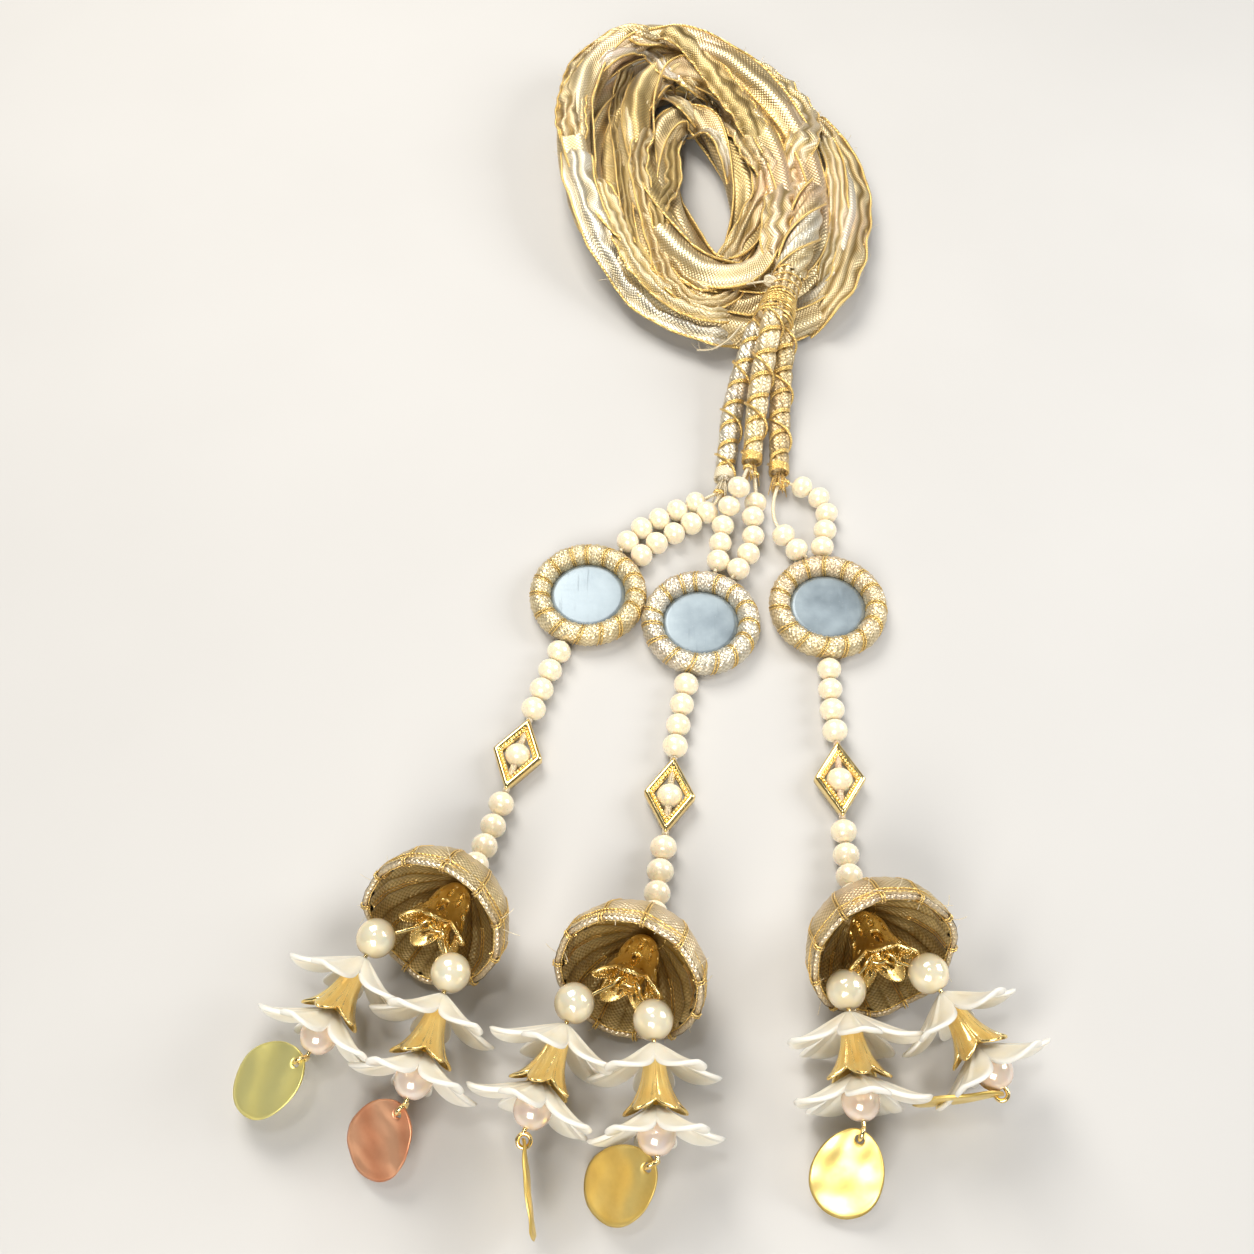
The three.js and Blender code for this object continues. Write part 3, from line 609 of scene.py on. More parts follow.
class Paint:
    """A material built node by node in the script."""

    def __init__(self, name: str) -> None:
        """Starts a material with one main shader."""
        self.material = bpy.data.materials.new(name)
        self.material.use_nodes = True
        self.tree = self.material.node_tree
        self.tree.nodes.clear()
        self.main = self.tree.nodes.new("ShaderNodeBsdfPrincipled")
        ending = self.tree.nodes.new("ShaderNodeOutputMaterial")
        self.tree.links.new(self.main.outputs[0], ending.inputs["Surface"])

    def node(self, kind: str, settings: dict | None = None, **given: object) -> bpy.types.Node:
        """Adds any node.

        Args:
            kind: the node's type.
            settings: its own settings, set first.
            given: numbers, colours or values for its inputs, by identifier or name, with
                underscores for spaces.

        Returns:
            The new node.
        """
        made = self.tree.nodes.new(kind)
        for key, value in (settings or {}).items():
            setattr(made, key, value)
        for label, value in given.items():
            self.feed(made, label, value)
        return made

    def feed(self, made: bpy.types.Node, label: str, value: object) -> None:
        """Links or sets one input of a node."""
        exact = [s for s in made.inputs if s.identifier == label]
        socket = exact[0] if exact else made.inputs[label.replace("_", " ")]
        if isinstance(value, Value):
            self.tree.links.new(value.socket, socket)
        elif isinstance(value, tuple) and len(value) == 3 and socket.type == "RGBA":
            socket.default_value = (*value, 1.0)
        else:
            socket.default_value = value

    def value(
        self, kind: str, settings: dict | None = None, output: int | str = 0, **given: object
    ) -> Value:
        """Adds any node, as in node(), and takes one of its outputs."""
        return Value(self, self.node(kind, settings, **given).outputs[output])

    def maths(self, operation: str, first: Value | float, second: Value | float) -> Value:
        """One sum of two numbers."""
        settings = {"operation": operation}
        return self.value("ShaderNodeMath", settings, Value=first, Value_001=second)

    def mix(self, share: Value | float, first: Value | Colour, second: Value | Colour) -> Value:
        """Mixes two colours."""
        made = self.node(
            "ShaderNodeMix", {"data_type": "RGBA"}, Factor_Float=share, A_Color=first,
            B_Color=second,
        )
        return Value(self, next(s for s in made.outputs if s.identifier == "Result_Color"))

    def place(self, *scales: float) -> Value:
        """The object's own coordinates, in millimetres unless scaled otherwise."""
        start = self.value("ShaderNodeTexCoord", output="Object")
        scale = scales or (1 / MM, 1 / MM, 1 / MM)
        settings = {"operation": "MULTIPLY"}
        return self.value("ShaderNodeVectorMath", settings, Vector=start, Vector_001=scale)

    def cloth(self) -> tuple[Value, Value]:
        """Place on the flat cloth or plate: millimetres across it and along it."""
        start = self.value("ShaderNodeUVMap", {"uv_map": "flat"})
        made = self.node("ShaderNodeSeparateXYZ", Vector=start)
        return Value(self, made.outputs[0]), Value(self, made.outputs[1])

    def depth(self) -> Value:
        """The mesh's own value: painted shade in creases, painted light at petal edges, a darker
        rim on paillettes and a tint on pearls.
        """
        return self.value("ShaderNodeAttribute", {"attribute_name": "depth"}, "Fac")

    def noise(self, where: Value, scale: float, detail: float = 3.0) -> Value:
        """Soft unevenness between 0 and 1."""
        return self.value("ShaderNodeTexNoise", Vector=where, Scale=scale, Detail=detail)

    def cells(self, where: Value, scale: float, output: str = "Distance") -> Value:
        """Cell pattern: distance to each cell's middle, or its chance colour."""
        return self.value("ShaderNodeTexVoronoi", None, output, Vector=where, Scale=scale)

    def grey(self, colour: Value) -> Value:
        """Brightness of a colour."""
        return self.value("ShaderNodeRGBToBW", Color=colour)

    def bump(self, height: Value, strength: float, distance: float) -> Value:
        """A surface relief from a height in the range 0 to 1, over a distance in millimetres."""
        relief = {"Strength": strength, "Distance": distance * MM}
        return self.value("ShaderNodeBump", Height=height, **relief)

    def finish(self, **given: object) -> bpy.types.Material:
        """Sets the main shader's inputs and returns the material."""
        for label, value in given.items():
            self.feed(self.main, label, value)
        return self.material


@dataclass(frozen=True)
class TissueFinish:
    """Metallic woven ribbon: fine ribs, a grain of threads, tarnish, tinted stretches, painted
    glints and painted shade in its creases.
    """

    name: str
    light: Colour
    dark: Colour
    tint: Colour
    roughness: float = 0.37
    metallic: float = 0.76
    rib: float = 2.3
    weave: float = 1.2
    tinted: float = 0.35
    shade: float = 0.95

    def make(self) -> bpy.types.Material:
        """Builds the material."""
        paint = Paint(self.name)
        across, along = paint.cloth()
        where = paint.place()
        patch = paint.noise(where, 0.04, 2.0).within(0.4, 0.68)
        blush = paint.noise(where, 0.03, 1.0).within(0.5, 0.7) * self.tinted
        wander = paint.noise(where, 0.12, 2.0)
        ribs = ((across * (TURN / self.rib)) + wander * 2.5).sine() * 0.5 + 0.5
        warp = (across * (TURN / self.weave)).sine()
        weft = (along * (TURN / self.weave)).sine()
        grain = warp * weft * 0.5 + 0.5
        # Painted glints: random cells of the weave are mixed towards a pale gold and made a little
        # smoother.
        glint = paint.grey(paint.cells(where, 1.3, "Color")).within(0.25, 0.95)
        body = paint.mix(patch * 0.18 + ribs * 0.04 + grain * 0.62, self.light, self.dark)
        body = paint.mix(blush, body, self.tint)
        body = paint.mix(glint * 0.06, body, (1.0, 0.95, 0.80))
        # Painted shade: the depth value darkens pleat valleys, creases and the undersides of wraps
        # towards the dark colour.
        body = paint.mix(paint.depth().within(0.0, 1.0) * self.shade, body, self.dark)
        relief = ribs * 0.08 + grain * 0.92
        return paint.finish(
            Base_Color=body,
            Roughness=glint * -0.05 + grain * 0.1 + self.roughness,
            Metallic=self.metallic,
            Normal=paint.bump(relief, 0.7, 0.2),
            Sheen_Weight=0.08,
            Sheen_Roughness=0.35,
            Specular_IOR_Level=0.6,
        )


@dataclass(frozen=True)
class MetalFinish:
    """Worn precious metal: small dents, tarnish in the grain and a soft polish."""

    name: str
    light: Colour
    dark: Colour
    roughness: float = 0.2
    relief: float = 0.05
    grain: float = 0.5

    def make(self) -> bpy.types.Material:
        """Builds the material."""
        paint = Paint(self.name)
        where = paint.place()
        patch = paint.noise(where, 0.22, 4.0).within(0.35, 0.7)
        fine = paint.noise(where, self.grain, 3.0)
        body = paint.mix(patch, self.light, self.dark)
        return paint.finish(
            Base_Color=body,
            Metallic=1.0,
            Roughness=patch * 0.1 + fine * 0.12 + self.roughness - 0.06,
            Normal=paint.bump(fine, 0.4, self.relief),
        )


@dataclass(frozen=True)
class ThreadFinish:
    """Metal-wrapped thread, twisted from fine strands."""

    name: str
    light: Colour
    dark: Colour
    metallic: float = 0.85
    roughness: float = 0.34

    def make(self) -> bpy.types.Material:
        """Builds the material."""
        paint = Paint(self.name)
        where = paint.place()
        bands = {"wave_type": "BANDS", "bands_direction": "DIAGONAL"}
        pitch = {"Scale": 0.75, "Distortion": 2.0, "Detail": 1.0}
        twist = paint.value("ShaderNodeTexWave", bands, "Fac", Vector=where, **pitch)
        patch = paint.noise(where, 0.3, 3.0)
        body = paint.mix(twist * 0.5 + patch * 0.4, self.light, self.dark)
        return paint.finish(
            Base_Color=body, Metallic=self.metallic, Roughness=patch * 0.16 + self.roughness - 0.08,
            Normal=paint.bump(twist, 0.8, 0.12), Sheen_Weight=0.15,
        )


@dataclass(frozen=True)
class PearlFinish:
    """Layered pearl coat: milky body, a warmer rim colour painted in where the surface turns from
    the view (painted rim light on small pearls, painted rim shade on large ones), and a clear
    glossy skin.
    """

    name: str
    body: Colour
    rim: Colour
    cool: Colour
    film: float = 320.0
    coat: float = 0.8
    roughness: float = 0.12
    metallic: float = 0.3

    def make(self) -> bpy.types.Material:
        """Builds the material."""
        paint = Paint(self.name)
        where = paint.place()
        facing = paint.value("ShaderNodeLayerWeight", output="Facing", Blend=0.42)
        cloud = paint.noise(where, 0.28, 3.0).within(0.3, 0.75)
        swirl = paint.noise(where, 0.9, 4.0)
        body = paint.mix(cloud * 0.6, self.body, self.cool)
        body = paint.mix(paint.depth() * 0.6, body, self.rim)
        # Painted rim light and shade: where the surface turns from the view, the rim colour takes
        # over, paler on small pearls and darker on large ones.
        body = paint.mix(facing.within(0.35, 1.0) * 0.85, body, self.rim)
        return paint.finish(
            Base_Color=body,
            Roughness=swirl * 0.08 + self.roughness,
            Metallic=self.metallic,
            Subsurface_Weight=0.35,
            Subsurface_Radius=(1.0, 0.6, 0.4),
            Subsurface_Scale=0.0015,
            Coat_Weight=self.coat,
            Coat_Roughness=self.roughness * 0.8,
            Specular_IOR_Level=0.6,
            Thin_Film_Thickness=self.film,
            Thin_Film_IOR=1.45,
            Normal=paint.bump(cloud, 0.1, 0.01),
        )


@dataclass(frozen=True)
class MirrorFinish:
    """Old mirror glass: grey-blue, with fine scratches and dust."""

    name: str = "old_mirror_glass"

    def make(self) -> bpy.types.Material:
        """Builds the material."""
        paint = Paint(self.name)
        long_scratch = paint.noise(paint.place(1500.0, 90.0, 90.0), 1.0, 2.0).within(0.62, 0.72)
        cross_scratch = paint.noise(paint.place(70.0, 1300.0, 90.0), 1.0, 2.0).within(0.64, 0.74)
        cloud = paint.noise(paint.place(), 0.16, 4.0).within(0.3, 0.7)
        speck = paint.cells(paint.place(), 0.8).within(0.12, 0.05)
        body = paint.mix(cloud, (0.19, 0.235, 0.265), (0.31, 0.37, 0.405))
        body = paint.mix(speck * 0.4, body, (0.5, 0.52, 0.5))
        scratch = long_scratch * 0.45 + cross_scratch * 0.15
        return paint.finish(
            Base_Color=body,
            Metallic=0.6,
            Roughness=scratch * 0.3 + cloud * 0.12 + speck * 0.3 + 0.42,
            Coat_Weight=0.25,
            Coat_Roughness=0.2,
            Normal=paint.bump(scratch, 0.35, 0.03),
        )


@dataclass(frozen=True)
class FrostedFinish:
    """Frosted milky plastic petals; their clearer, thinner edges get painted light that makes them
    paler.
    """

    name: str = "frosted_petal_plastic"

    def make(self) -> bpy.types.Material:
        """Builds the material."""
        paint = Paint(self.name)
        where = paint.place()
        cloud = paint.noise(where, 0.18, 3.0).within(0.3, 0.7)
        vein = paint.noise(paint.place(260.0, 260.0, 260.0), 3.0, 2.0)
        body = paint.mix(cloud, (0.86, 0.76, 0.58), (0.93, 0.87, 0.73))
        # Painted light: the depth value pales the thin outer edges of the petals.
        body = paint.mix(paint.depth() * 0.7, body, (0.97, 0.93, 0.83))
        return paint.finish(
            Base_Color=body,
            Roughness=cloud * 0.12 + 0.3,
            Subsurface_Weight=0.55,
            Subsurface_Radius=(1.0, 0.85, 0.7),
            Subsurface_Scale=0.0035,
            Transmission_Weight=0.18,
            Coat_Weight=0.35,
            Coat_Roughness=0.2,
            Normal=paint.bump(vein, 0.3, 0.12),
        )


@dataclass(frozen=True)
class SatinFinish:
    """Satin plated leaf with diagonal ripples and a darker rim."""

    name: str
    light: Colour
    dark: Colour
    bands: float = 0.35

    def make(self) -> bpy.types.Material:
        """Builds the material."""
        paint = Paint(self.name)
        across, along = paint.cloth()
        where = paint.place()
        wander = paint.noise(where, 0.12, 3.0)
        band = (across * 0.45 + along * 0.62 + wander * 4.0).sine() * 0.5 + 0.5
        brush = paint.noise(paint.place(900.0, 900.0, 900.0), 1.2, 4.0)
        body = paint.mix(band * self.bands + brush * 0.2, self.light, self.dark)
        body = paint.mix(paint.depth() * 0.5, body, self.dark)
        return paint.finish(
            Base_Color=body, Metallic=0.8, Roughness=band * 0.1 + brush * 0.12 + 0.3,
            Normal=paint.bump(band, 0.3, 0.05),
        )


@dataclass(frozen=True)
class FloorFinish:
    """Plain pale floor with a faint grain."""

    name: str = "pale_floor"

    def make(self) -> bpy.types.Material:
        """Builds the material."""
        paint = Paint(self.name)
        where = paint.place()
        cloud = paint.noise(where, 0.012, 3.0)
        grain = paint.noise(where, 1.6, 2.0)
        body = paint.mix(cloud, (0.50, 0.485, 0.46), (0.54, 0.525, 0.50))
        return paint.finish(
            Base_Color=body, Roughness=grain * 0.1 + 0.62, Normal=paint.bump(grain, 0.1, 0.05)
        )


CREAM_GOLD = (0.92, 0.75, 0.43)
SILVER = (0.97, 0.92, 0.78)
PINK = (0.86, 0.56, 0.42)


class Finish(Enum):
    """Every finish of the object and its stand."""

    CHAMPAGNE = TissueFinish("champagne_tissue", CREAM_GOLD, (0.22, 0.13, 0.025), PINK)
    SILVERY = TissueFinish("silvery_tissue", SILVER, (0.38, 0.31, 0.18), PINK, roughness=0.36)
    WOVEN_DARK = TissueFinish(
        "dark_woven_tissue", (0.76, 0.57, 0.24), (0.16, 0.10, 0.02), (0.86, 0.68, 0.36),
        rib=1.9, tinted=0.6,
    )
    PALE_GOLD = TissueFinish(
        "pale_gold_tissue", (0.97, 0.84, 0.56), (0.36, 0.25, 0.08), (0.95, 0.70, 0.54),
        roughness=0.38,
    )
    BELL_INSIDE = TissueFinish(
        "bell_lining", (1.0, 0.82, 0.40), (0.22, 0.12, 0.01), (0.86, 0.60, 0.18), metallic=0.45
    )
    BRIGHT_FOLD = TissueFinish(
        "bright_fold", (0.98, 0.90, 0.74), (0.56, 0.42, 0.22), PINK,
        roughness=0.3, metallic=0.7, tinted=0.5,
    )
    GOLD_THREAD = ThreadFinish("gold_thread", (1.0, 0.74, 0.28), (0.66, 0.42, 0.10))
    PALE_THREAD = ThreadFinish("pale_thread", (0.94, 0.86, 0.66), (0.66, 0.52, 0.28), metallic=0.2)
    GOLD = MetalFinish(
        "polished_gold", (1.0, 0.82, 0.40), (0.98, 0.70, 0.27), roughness=0.15, relief=0.02
    )
    FILIGREE = MetalFinish("filigree_gold", (1.0, 0.78, 0.34), (0.74, 0.48, 0.13), roughness=0.24)
    PEARL = PearlFinish(
        "small_pearl", (0.90, 0.78, 0.55), (0.99, 0.90, 0.72), (0.93, 0.84, 0.66),
        film=0.0, coat=0.45, roughness=0.24, metallic=0.12,
    )
    LARGE_PEARL = PearlFinish(
        "cream_pearl", (0.86, 0.76, 0.50), (0.78, 0.58, 0.30), (0.70, 0.73, 0.70), film=300.0
    )
    PINK_PEARL = PearlFinish(
        "pink_champagne_pearl", (0.86, 0.68, 0.50), (0.74, 0.46, 0.28), (0.84, 0.76, 0.76),
        film=420.0,
    )
    MIRROR = MirrorFinish()
    PETAL = FrostedFinish()
    LEAF_GOLD = SatinFinish("satin_gold_leaf", (1.0, 0.78, 0.28), (0.52, 0.34, 0.06))
    LEAF_PALE = SatinFinish("satin_pale_leaf", (1.0, 0.92, 0.38), (0.90, 0.77, 0.22))
    LEAF_COPPER = SatinFinish("satin_copper_leaf", (1.0, 0.55, 0.32), (0.66, 0.25, 0.12), bands=0.7)
    FLOOR = FloorFinish()


MATERIALS: dict[Finish, bpy.types.Material] = {}
TREES: dict[Callable[[], GeometryTree], GeometryTree] = {}


def material(finish: Finish) -> bpy.types.Material:
    """The material of a finish, made once."""
    if finish not in MATERIALS:
        MATERIALS[finish] = finish.value.make()
    return MATERIALS[finish]


def tree(maker: Callable[[], GeometryTree]) -> GeometryTree:
    """The node tree of a maker, made once."""
    if maker not in TREES:
        TREES[maker] = maker()
    return TREES[maker]


def settle(piece: bpy.types.Object, slot: str, *stands_for: str) -> bpy.types.Object:
    """Lets a piece ride on the object and stand for parts of it."""
    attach(piece, "root")
    if stands_for:
        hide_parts(*stands_for)
    LOG.info("%s: %d faces", piece.name, len(piece.data.polygons))
    return piece


def shell(
    name: str,
    finish: Finish,
    slot: str,
    points: np.ndarray,
    *stands_for: str,
    flat: np.ndarray | None = None,
    along: bool = False,
    mask: np.ndarray | float = 0.0,
    closed: bool = True,
) -> bpy.types.Object:
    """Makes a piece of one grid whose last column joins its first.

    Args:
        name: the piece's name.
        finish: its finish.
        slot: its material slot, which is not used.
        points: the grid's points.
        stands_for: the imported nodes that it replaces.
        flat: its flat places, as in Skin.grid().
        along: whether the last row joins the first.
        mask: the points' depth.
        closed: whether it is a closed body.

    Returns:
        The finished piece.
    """
    skin = Skin()
    skin.grid(points, flat, around=True, along=along, mask=mask)
    made = skin.build(name, material(finish), closed=closed)
    return settle(made, slot, *stands_for)


def grown(
    maker: Callable[[], GeometryTree],
    name: str,
    paths: list[np.ndarray],
    values: dict,
    finish: Finish,
    slot: str,
    closed: bool = False,
) -> bpy.types.Object:
    values["Finish"] = material(finish)
    made = tree(maker).grow(name, wires_mesh(name + "_path", paths, closed), values)
    return settle(made, slot)


def threads(
    name: str,
    paths: list[np.ndarray],
    radius: float,
    finish: Finish = Finish.GOLD_THREAD,
    slot: str = "gold_metal",
    step: float = 0.8,
    sides: int = 6,
    uneven: float = 0.1,
    closed: bool = False,
) -> bpy.types.Object:
    """Grows threads, cords or wires along paths.

    Args:
        name: the piece's name.
        paths: paths in layout millimetres.
        radius: the thread's radius in millimetres.
        finish: its finish.
        slot: its material slot, which is not used.
        step: length of one stretch in millimetres.
        sides: sides of its section.
        uneven: how much its radius changes, as a share.
        closed: whether each path joins its own start.

    Returns:
        The finished piece.
    """
    values = {"Radius": radius * MM, "Step": step * MM, "Sides": sides, "Unevenness": uneven}
    return grown(thread_tree, name, paths, values, finish, slot, closed)


def beads(
    name: str,
    paths: list[np.ndarray],
    radius: float,
    pitch: float,
    finish: Finish,
    slot: str = "gold_metal",
    closed: bool = False,
) -> bpy.types.Object:
    """Sets rows of tiny beads along paths, as in threads()."""
    values = {"Radius": radius * MM, "Pitch": pitch * MM}
    return grown(bead_tree, name, paths, values, finish, slot, closed)


def fibres(
    name: str, paths: list[np.ndarray], spacing: float, length: float, finish: Finish, seed: int
) -> bpy.types.Object:
    """Sets short loose fibres along paths, as in threads()."""
    values = {"Spacing": spacing * MM, "Length": length * MM, "Seed": seed}
    return grown(fibre_tree, name, paths, values, finish, "gold_ribbon")


@dataclass
class Stand:
    """A place with an axis: across is level, and upright is square to both."""

    point: np.ndarray
    axis: np.ndarray
    turn: float = 0.0
    across: np.ndarray = field(init=False)
    upright: np.ndarray = field(init=False)

    def __post_init__(self) -> None:
        """Works out the two directions beside the axis."""
        self.axis = unit(np.asarray(self.axis, float))
        self.across = unit(np.cross(self.axis, UP))
        self.upright = np.cross(self.across, self.axis)

    def put(self, out: np.ndarray, angle: np.ndarray, along: np.ndarray) -> np.ndarray:
        """Points from a distance off the axis, an angle from upright and a place along it."""
        out, angle, along = np.broadcast_arrays(out, angle, along)
        turned = angle + math.radians(self.turn)
        side = (out * np.sin(turned))[..., None] * self.across
        rise = (out * np.cos(turned))[..., None] * self.upright
        return self.point + side + rise + along[..., None] * self.axis


def ball(place: Stand, radius: float, half: float, rows: int = 28, columns: int = 36) -> tuple:
    """A pearl's grid with its holes' dimples along the stand's axis.

    Args:
        place: the pearl's middle and its hole's direction.
        radius: its radius across the hole.
        half: half its length along the hole.
        rows: rings from hole to hole.
        columns: points of each ring.

    Returns:
        The points and their flat places.
    """
    lean = np.linspace(0, math.pi, rows)[:, None]
    around = turn_steps(columns)[None, :]
    dimple = 1 - 0.10 * np.exp(-((np.minimum(lean, math.pi - lean) / 0.2) ** 2))
    points = place.put(radius * np.sin(lean), around, -half * np.cos(lean) * dimple)
    whole = np.linspace(0, TURN * radius, columns + 1)
    flat = flat_grid(whole, (lean * radius)[:, 0])
    return points, flat


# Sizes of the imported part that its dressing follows, in millimetres.
GAP = 0.3
LINK_GAP = 0.35
PEARL_RADIUS = 3.0
PEARL_LENGTH = 5.5
STRAND_PEARLS = 4
THREAD_RADIUS = 0.5
DISC_RADIUS = 14.6
DISC_HEIGHT = 6.1
DISC_BACKING = 1.3
MIRROR_RADIUS = 9.4
MIRROR_LOW, MIRROR_HIGH = 1.6, 3.1
DIAMOND_LENGTH = 18.8
DIAMOND_WIDTH = 11.8
DIAMOND_TUBE = 0.85
BELL_RADIUS = 15.6
BELL_DEPTH = 15.2
BELL_TOP = 2.8
BELL_WALL = 1.2
BELL_PANELS = 11
BELL_SLOPE = math.radians(33)
BELL_OUTLINE = ((0, 0), (0.12, 0.36), (0.36, 0.76), (0.66, 0.97), (1, 1))
CAP_LENGTH = 13.0
CAP_RADIUS = 6.5
CAP_INSET = 2.4
CAP_RISE = math.radians(16)
CAP_RING = 2.2
CAP_RING_AT = 9.0
UPPER_PEARL = 4.0
LOWER_PEARL = 3.7
WIRE = 0.42
PIN_LOOP = 1.5
EYE = 1.235
FLOWER_RADIUS = 13.6
PETALS = 5
PETAL_TIP = 8
UPPER_FLOWER_AT, UPPER_CUP = 4.55, 7.4
LOWER_FLOWER_AT, LOWER_CUP = 15.9, 6.8
TRUMPET_AT, TRUMPET_LENGTH = 6.3, 10.6
TRUMPET_TOP, TRUMPET_MOUTH = 2.0, 6.2
LOWER_PEARL_AT = 20.96
WIRE_END = 25.46
LEAF_NEAR, LEAF_FAR = -1.75, 15.75
LEAF_WIDEST, LEAF_HALF = 8.05, 6.8
LEAF_HOLE = 0.9


@dataclass(frozen=True)
class Side:
    """One of the three chains: its stem, loops, disc, strand and bell."""

    name: str
    stem: tuple
    headings: tuple[float, float, float, float]
    bell_heading: float
    bell_thread: float
    loops: tuple

    def disc(self, height: float = 0.0) -> np.ndarray:
        """Middle of the mirror disc at a height."""
        return np.array([*DISCS[self.name], height])


CHAINS = (
    Side("left", ((35.8, 89.6, 10.8), (29.8, 70.7, 5.2), (25.6, 43.2, 3.1)), (22, 17, 14, 16), 23,
        2.2, ((1, ((24.0, 39.8, 3.1), (19.6, 37.3), (14.4, 34.7), (8.9, 31.5), (3.8, 28.2),
        (0.3, 24.1))), (4, ((24.8, 39.4, 3.1), (22.2, 34.8), (18.3, 31.0), (13.6, 27.5),
        (8.4, 24.1), (4.3, 20.2)))),),
    Side("middle", ((39.8, 88.4, 16.4), (35.8, 69.0, 9.4), (33.0, 47.4, 5.2)), (13, 7.5, 7, 8.3),
        20, 2.2, ((1, ((31.6, 44.0, 8.2), (29.4, 38.3, 8.6), (26.8, 34.2, 5.8), (25.0, 29.6, 3.4),
        (24.0, 24.2), (23.2, 18.3)),), (3, ((33.6, 44.0, 5.2), (33.8, 37.4, 3.4),
        (32.6, 31.6, 4.6), (32.4, 25.4, 3.4), (30.8, 19.8), (27.8, 14.9)),)),),
    Side("right", ((43.8, 87.3, 10.8), (42.2, 70.7, 5.2), (40.4, 45.6, 3.1)), (4, -3, 1.5, 0),
        -13, 0.8, ((1, ((41.8, 43.0, 3.1), (46.4, 41.6), (50.6, 37.8), (52.0, 32.2), (50.8, 26.4),
        (49.8, 21.4))), (11, ((39.7, 41.7, 3.4), (38.4, 36.6), (38.3, 31.0), (40.6, 25.4),
        (43.8, 20.8), (45.8, 18.8)),)),),
)


def bell_radius(share: np.ndarray) -> np.ndarray:
    """Radius of a bell at shares of its depth, rounded between the outline's corners."""
    fine = np.linspace(0, 1, 81)
    corners = np.array(BELL_OUTLINE)
    sharp = np.interp(fine, corners[:, 0], corners[:, 1])
    padded = np.concatenate([np.zeros(4), sharp, np.ones(4)])
    soft = np.convolve(padded, np.ones(9) / 9, mode="same")[4:-4]
    soft[:3] = sharp[:3]
    return BELL_TOP + np.interp(share, fine, soft) * (BELL_RADIUS - BELL_TOP)


def beside_petal(around: np.ndarray) -> np.ndarray:
    """How far each angle lies from its petal's middle, from 0 there to 1 in the notch."""
    petal = around * PETALS / TURN
    return np.abs(petal - np.round(petal)) * 2


def bell_top_height() -> float:
    """Height of a bell's top when it rests on its side."""
    corners = np.array(BELL_OUTLINE)
    out = BELL_TOP + corners[:, 1] * (BELL_RADIUS - BELL_TOP)
    drop = corners[:, 0] * BELL_DEPTH * math.sin(BELL_SLOPE)
    return float(np.max(out * math.cos(BELL_SLOPE) - drop))


@dataclass
class Walk:
    """The places of one chain from its disc's edge down to its bell."""

    side: Side
    pearls: list = field(init=False, default_factory=list)
    thread: list = field(init=False, default_factory=list)

    def __post_init__(self) -> None:
        """Walks along the chain."""
        first, second, frame_heading, last = self.side.headings
        at = self.side.disc(PEARL_RADIUS) + heading(first) * (DISC_RADIUS + GAP)
        self.thread.append(at)
        at = at + heading(first) * GAP
        for share in np.linspace(0, 1, STRAND_PEARLS):
            at = self.pearl(at, heading(first + (second - first) * share))
        half = (DIAMOND_LENGTH - PEARL_LENGTH) / 2 + GAP
        along = heading(frame_heading)
        self.tube = (at, at + along * (2 * half + PEARL_LENGTH))
        self.diamond = Stand(at + along * (half + PEARL_LENGTH / 2), along)
        self.pearls.append((self.diamond.point, along))
        at = self.tube[1]
        self.thread.append(at)
        run = 2 * PEARL_LENGTH + self.side.bell_thread
        climb = math.asin((bell_top_height() - PEARL_RADIUS) / run)
        level = heading(last)
        steep = level * math.cos(climb) + UP * math.sin(climb)
        for direction in (level, level, steep, steep):
            at = self.pearl(at, direction)
        forward = heading(self.side.bell_heading)
        axis = forward * math.cos(BELL_SLOPE) + UP * math.sin(BELL_SLOPE)
        top = at + forward * self.side.bell_thread
        top[2] = bell_top_height()
        self.forward = forward
        self.bell = Stand(top, axis)
        self.thread.append(top - axis * GAP)
        cap_axis = forward * math.cos(CAP_RISE) + UP * math.sin(CAP_RISE)
        self.cap = Stand(top + axis * CAP_INSET, cap_axis)

    def pearl(self, at: np.ndarray, along: np.ndarray) -> np.ndarray:
        """Threads one pearl and returns the place behind it."""
        self.pearls.append((at + along * PEARL_LENGTH / 2, along))
        self.thread.append(at + along * PEARL_LENGTH)
        return at + along * PEARL_LENGTH


WALKS = {side.name: Walk(side) for side in CHAINS}


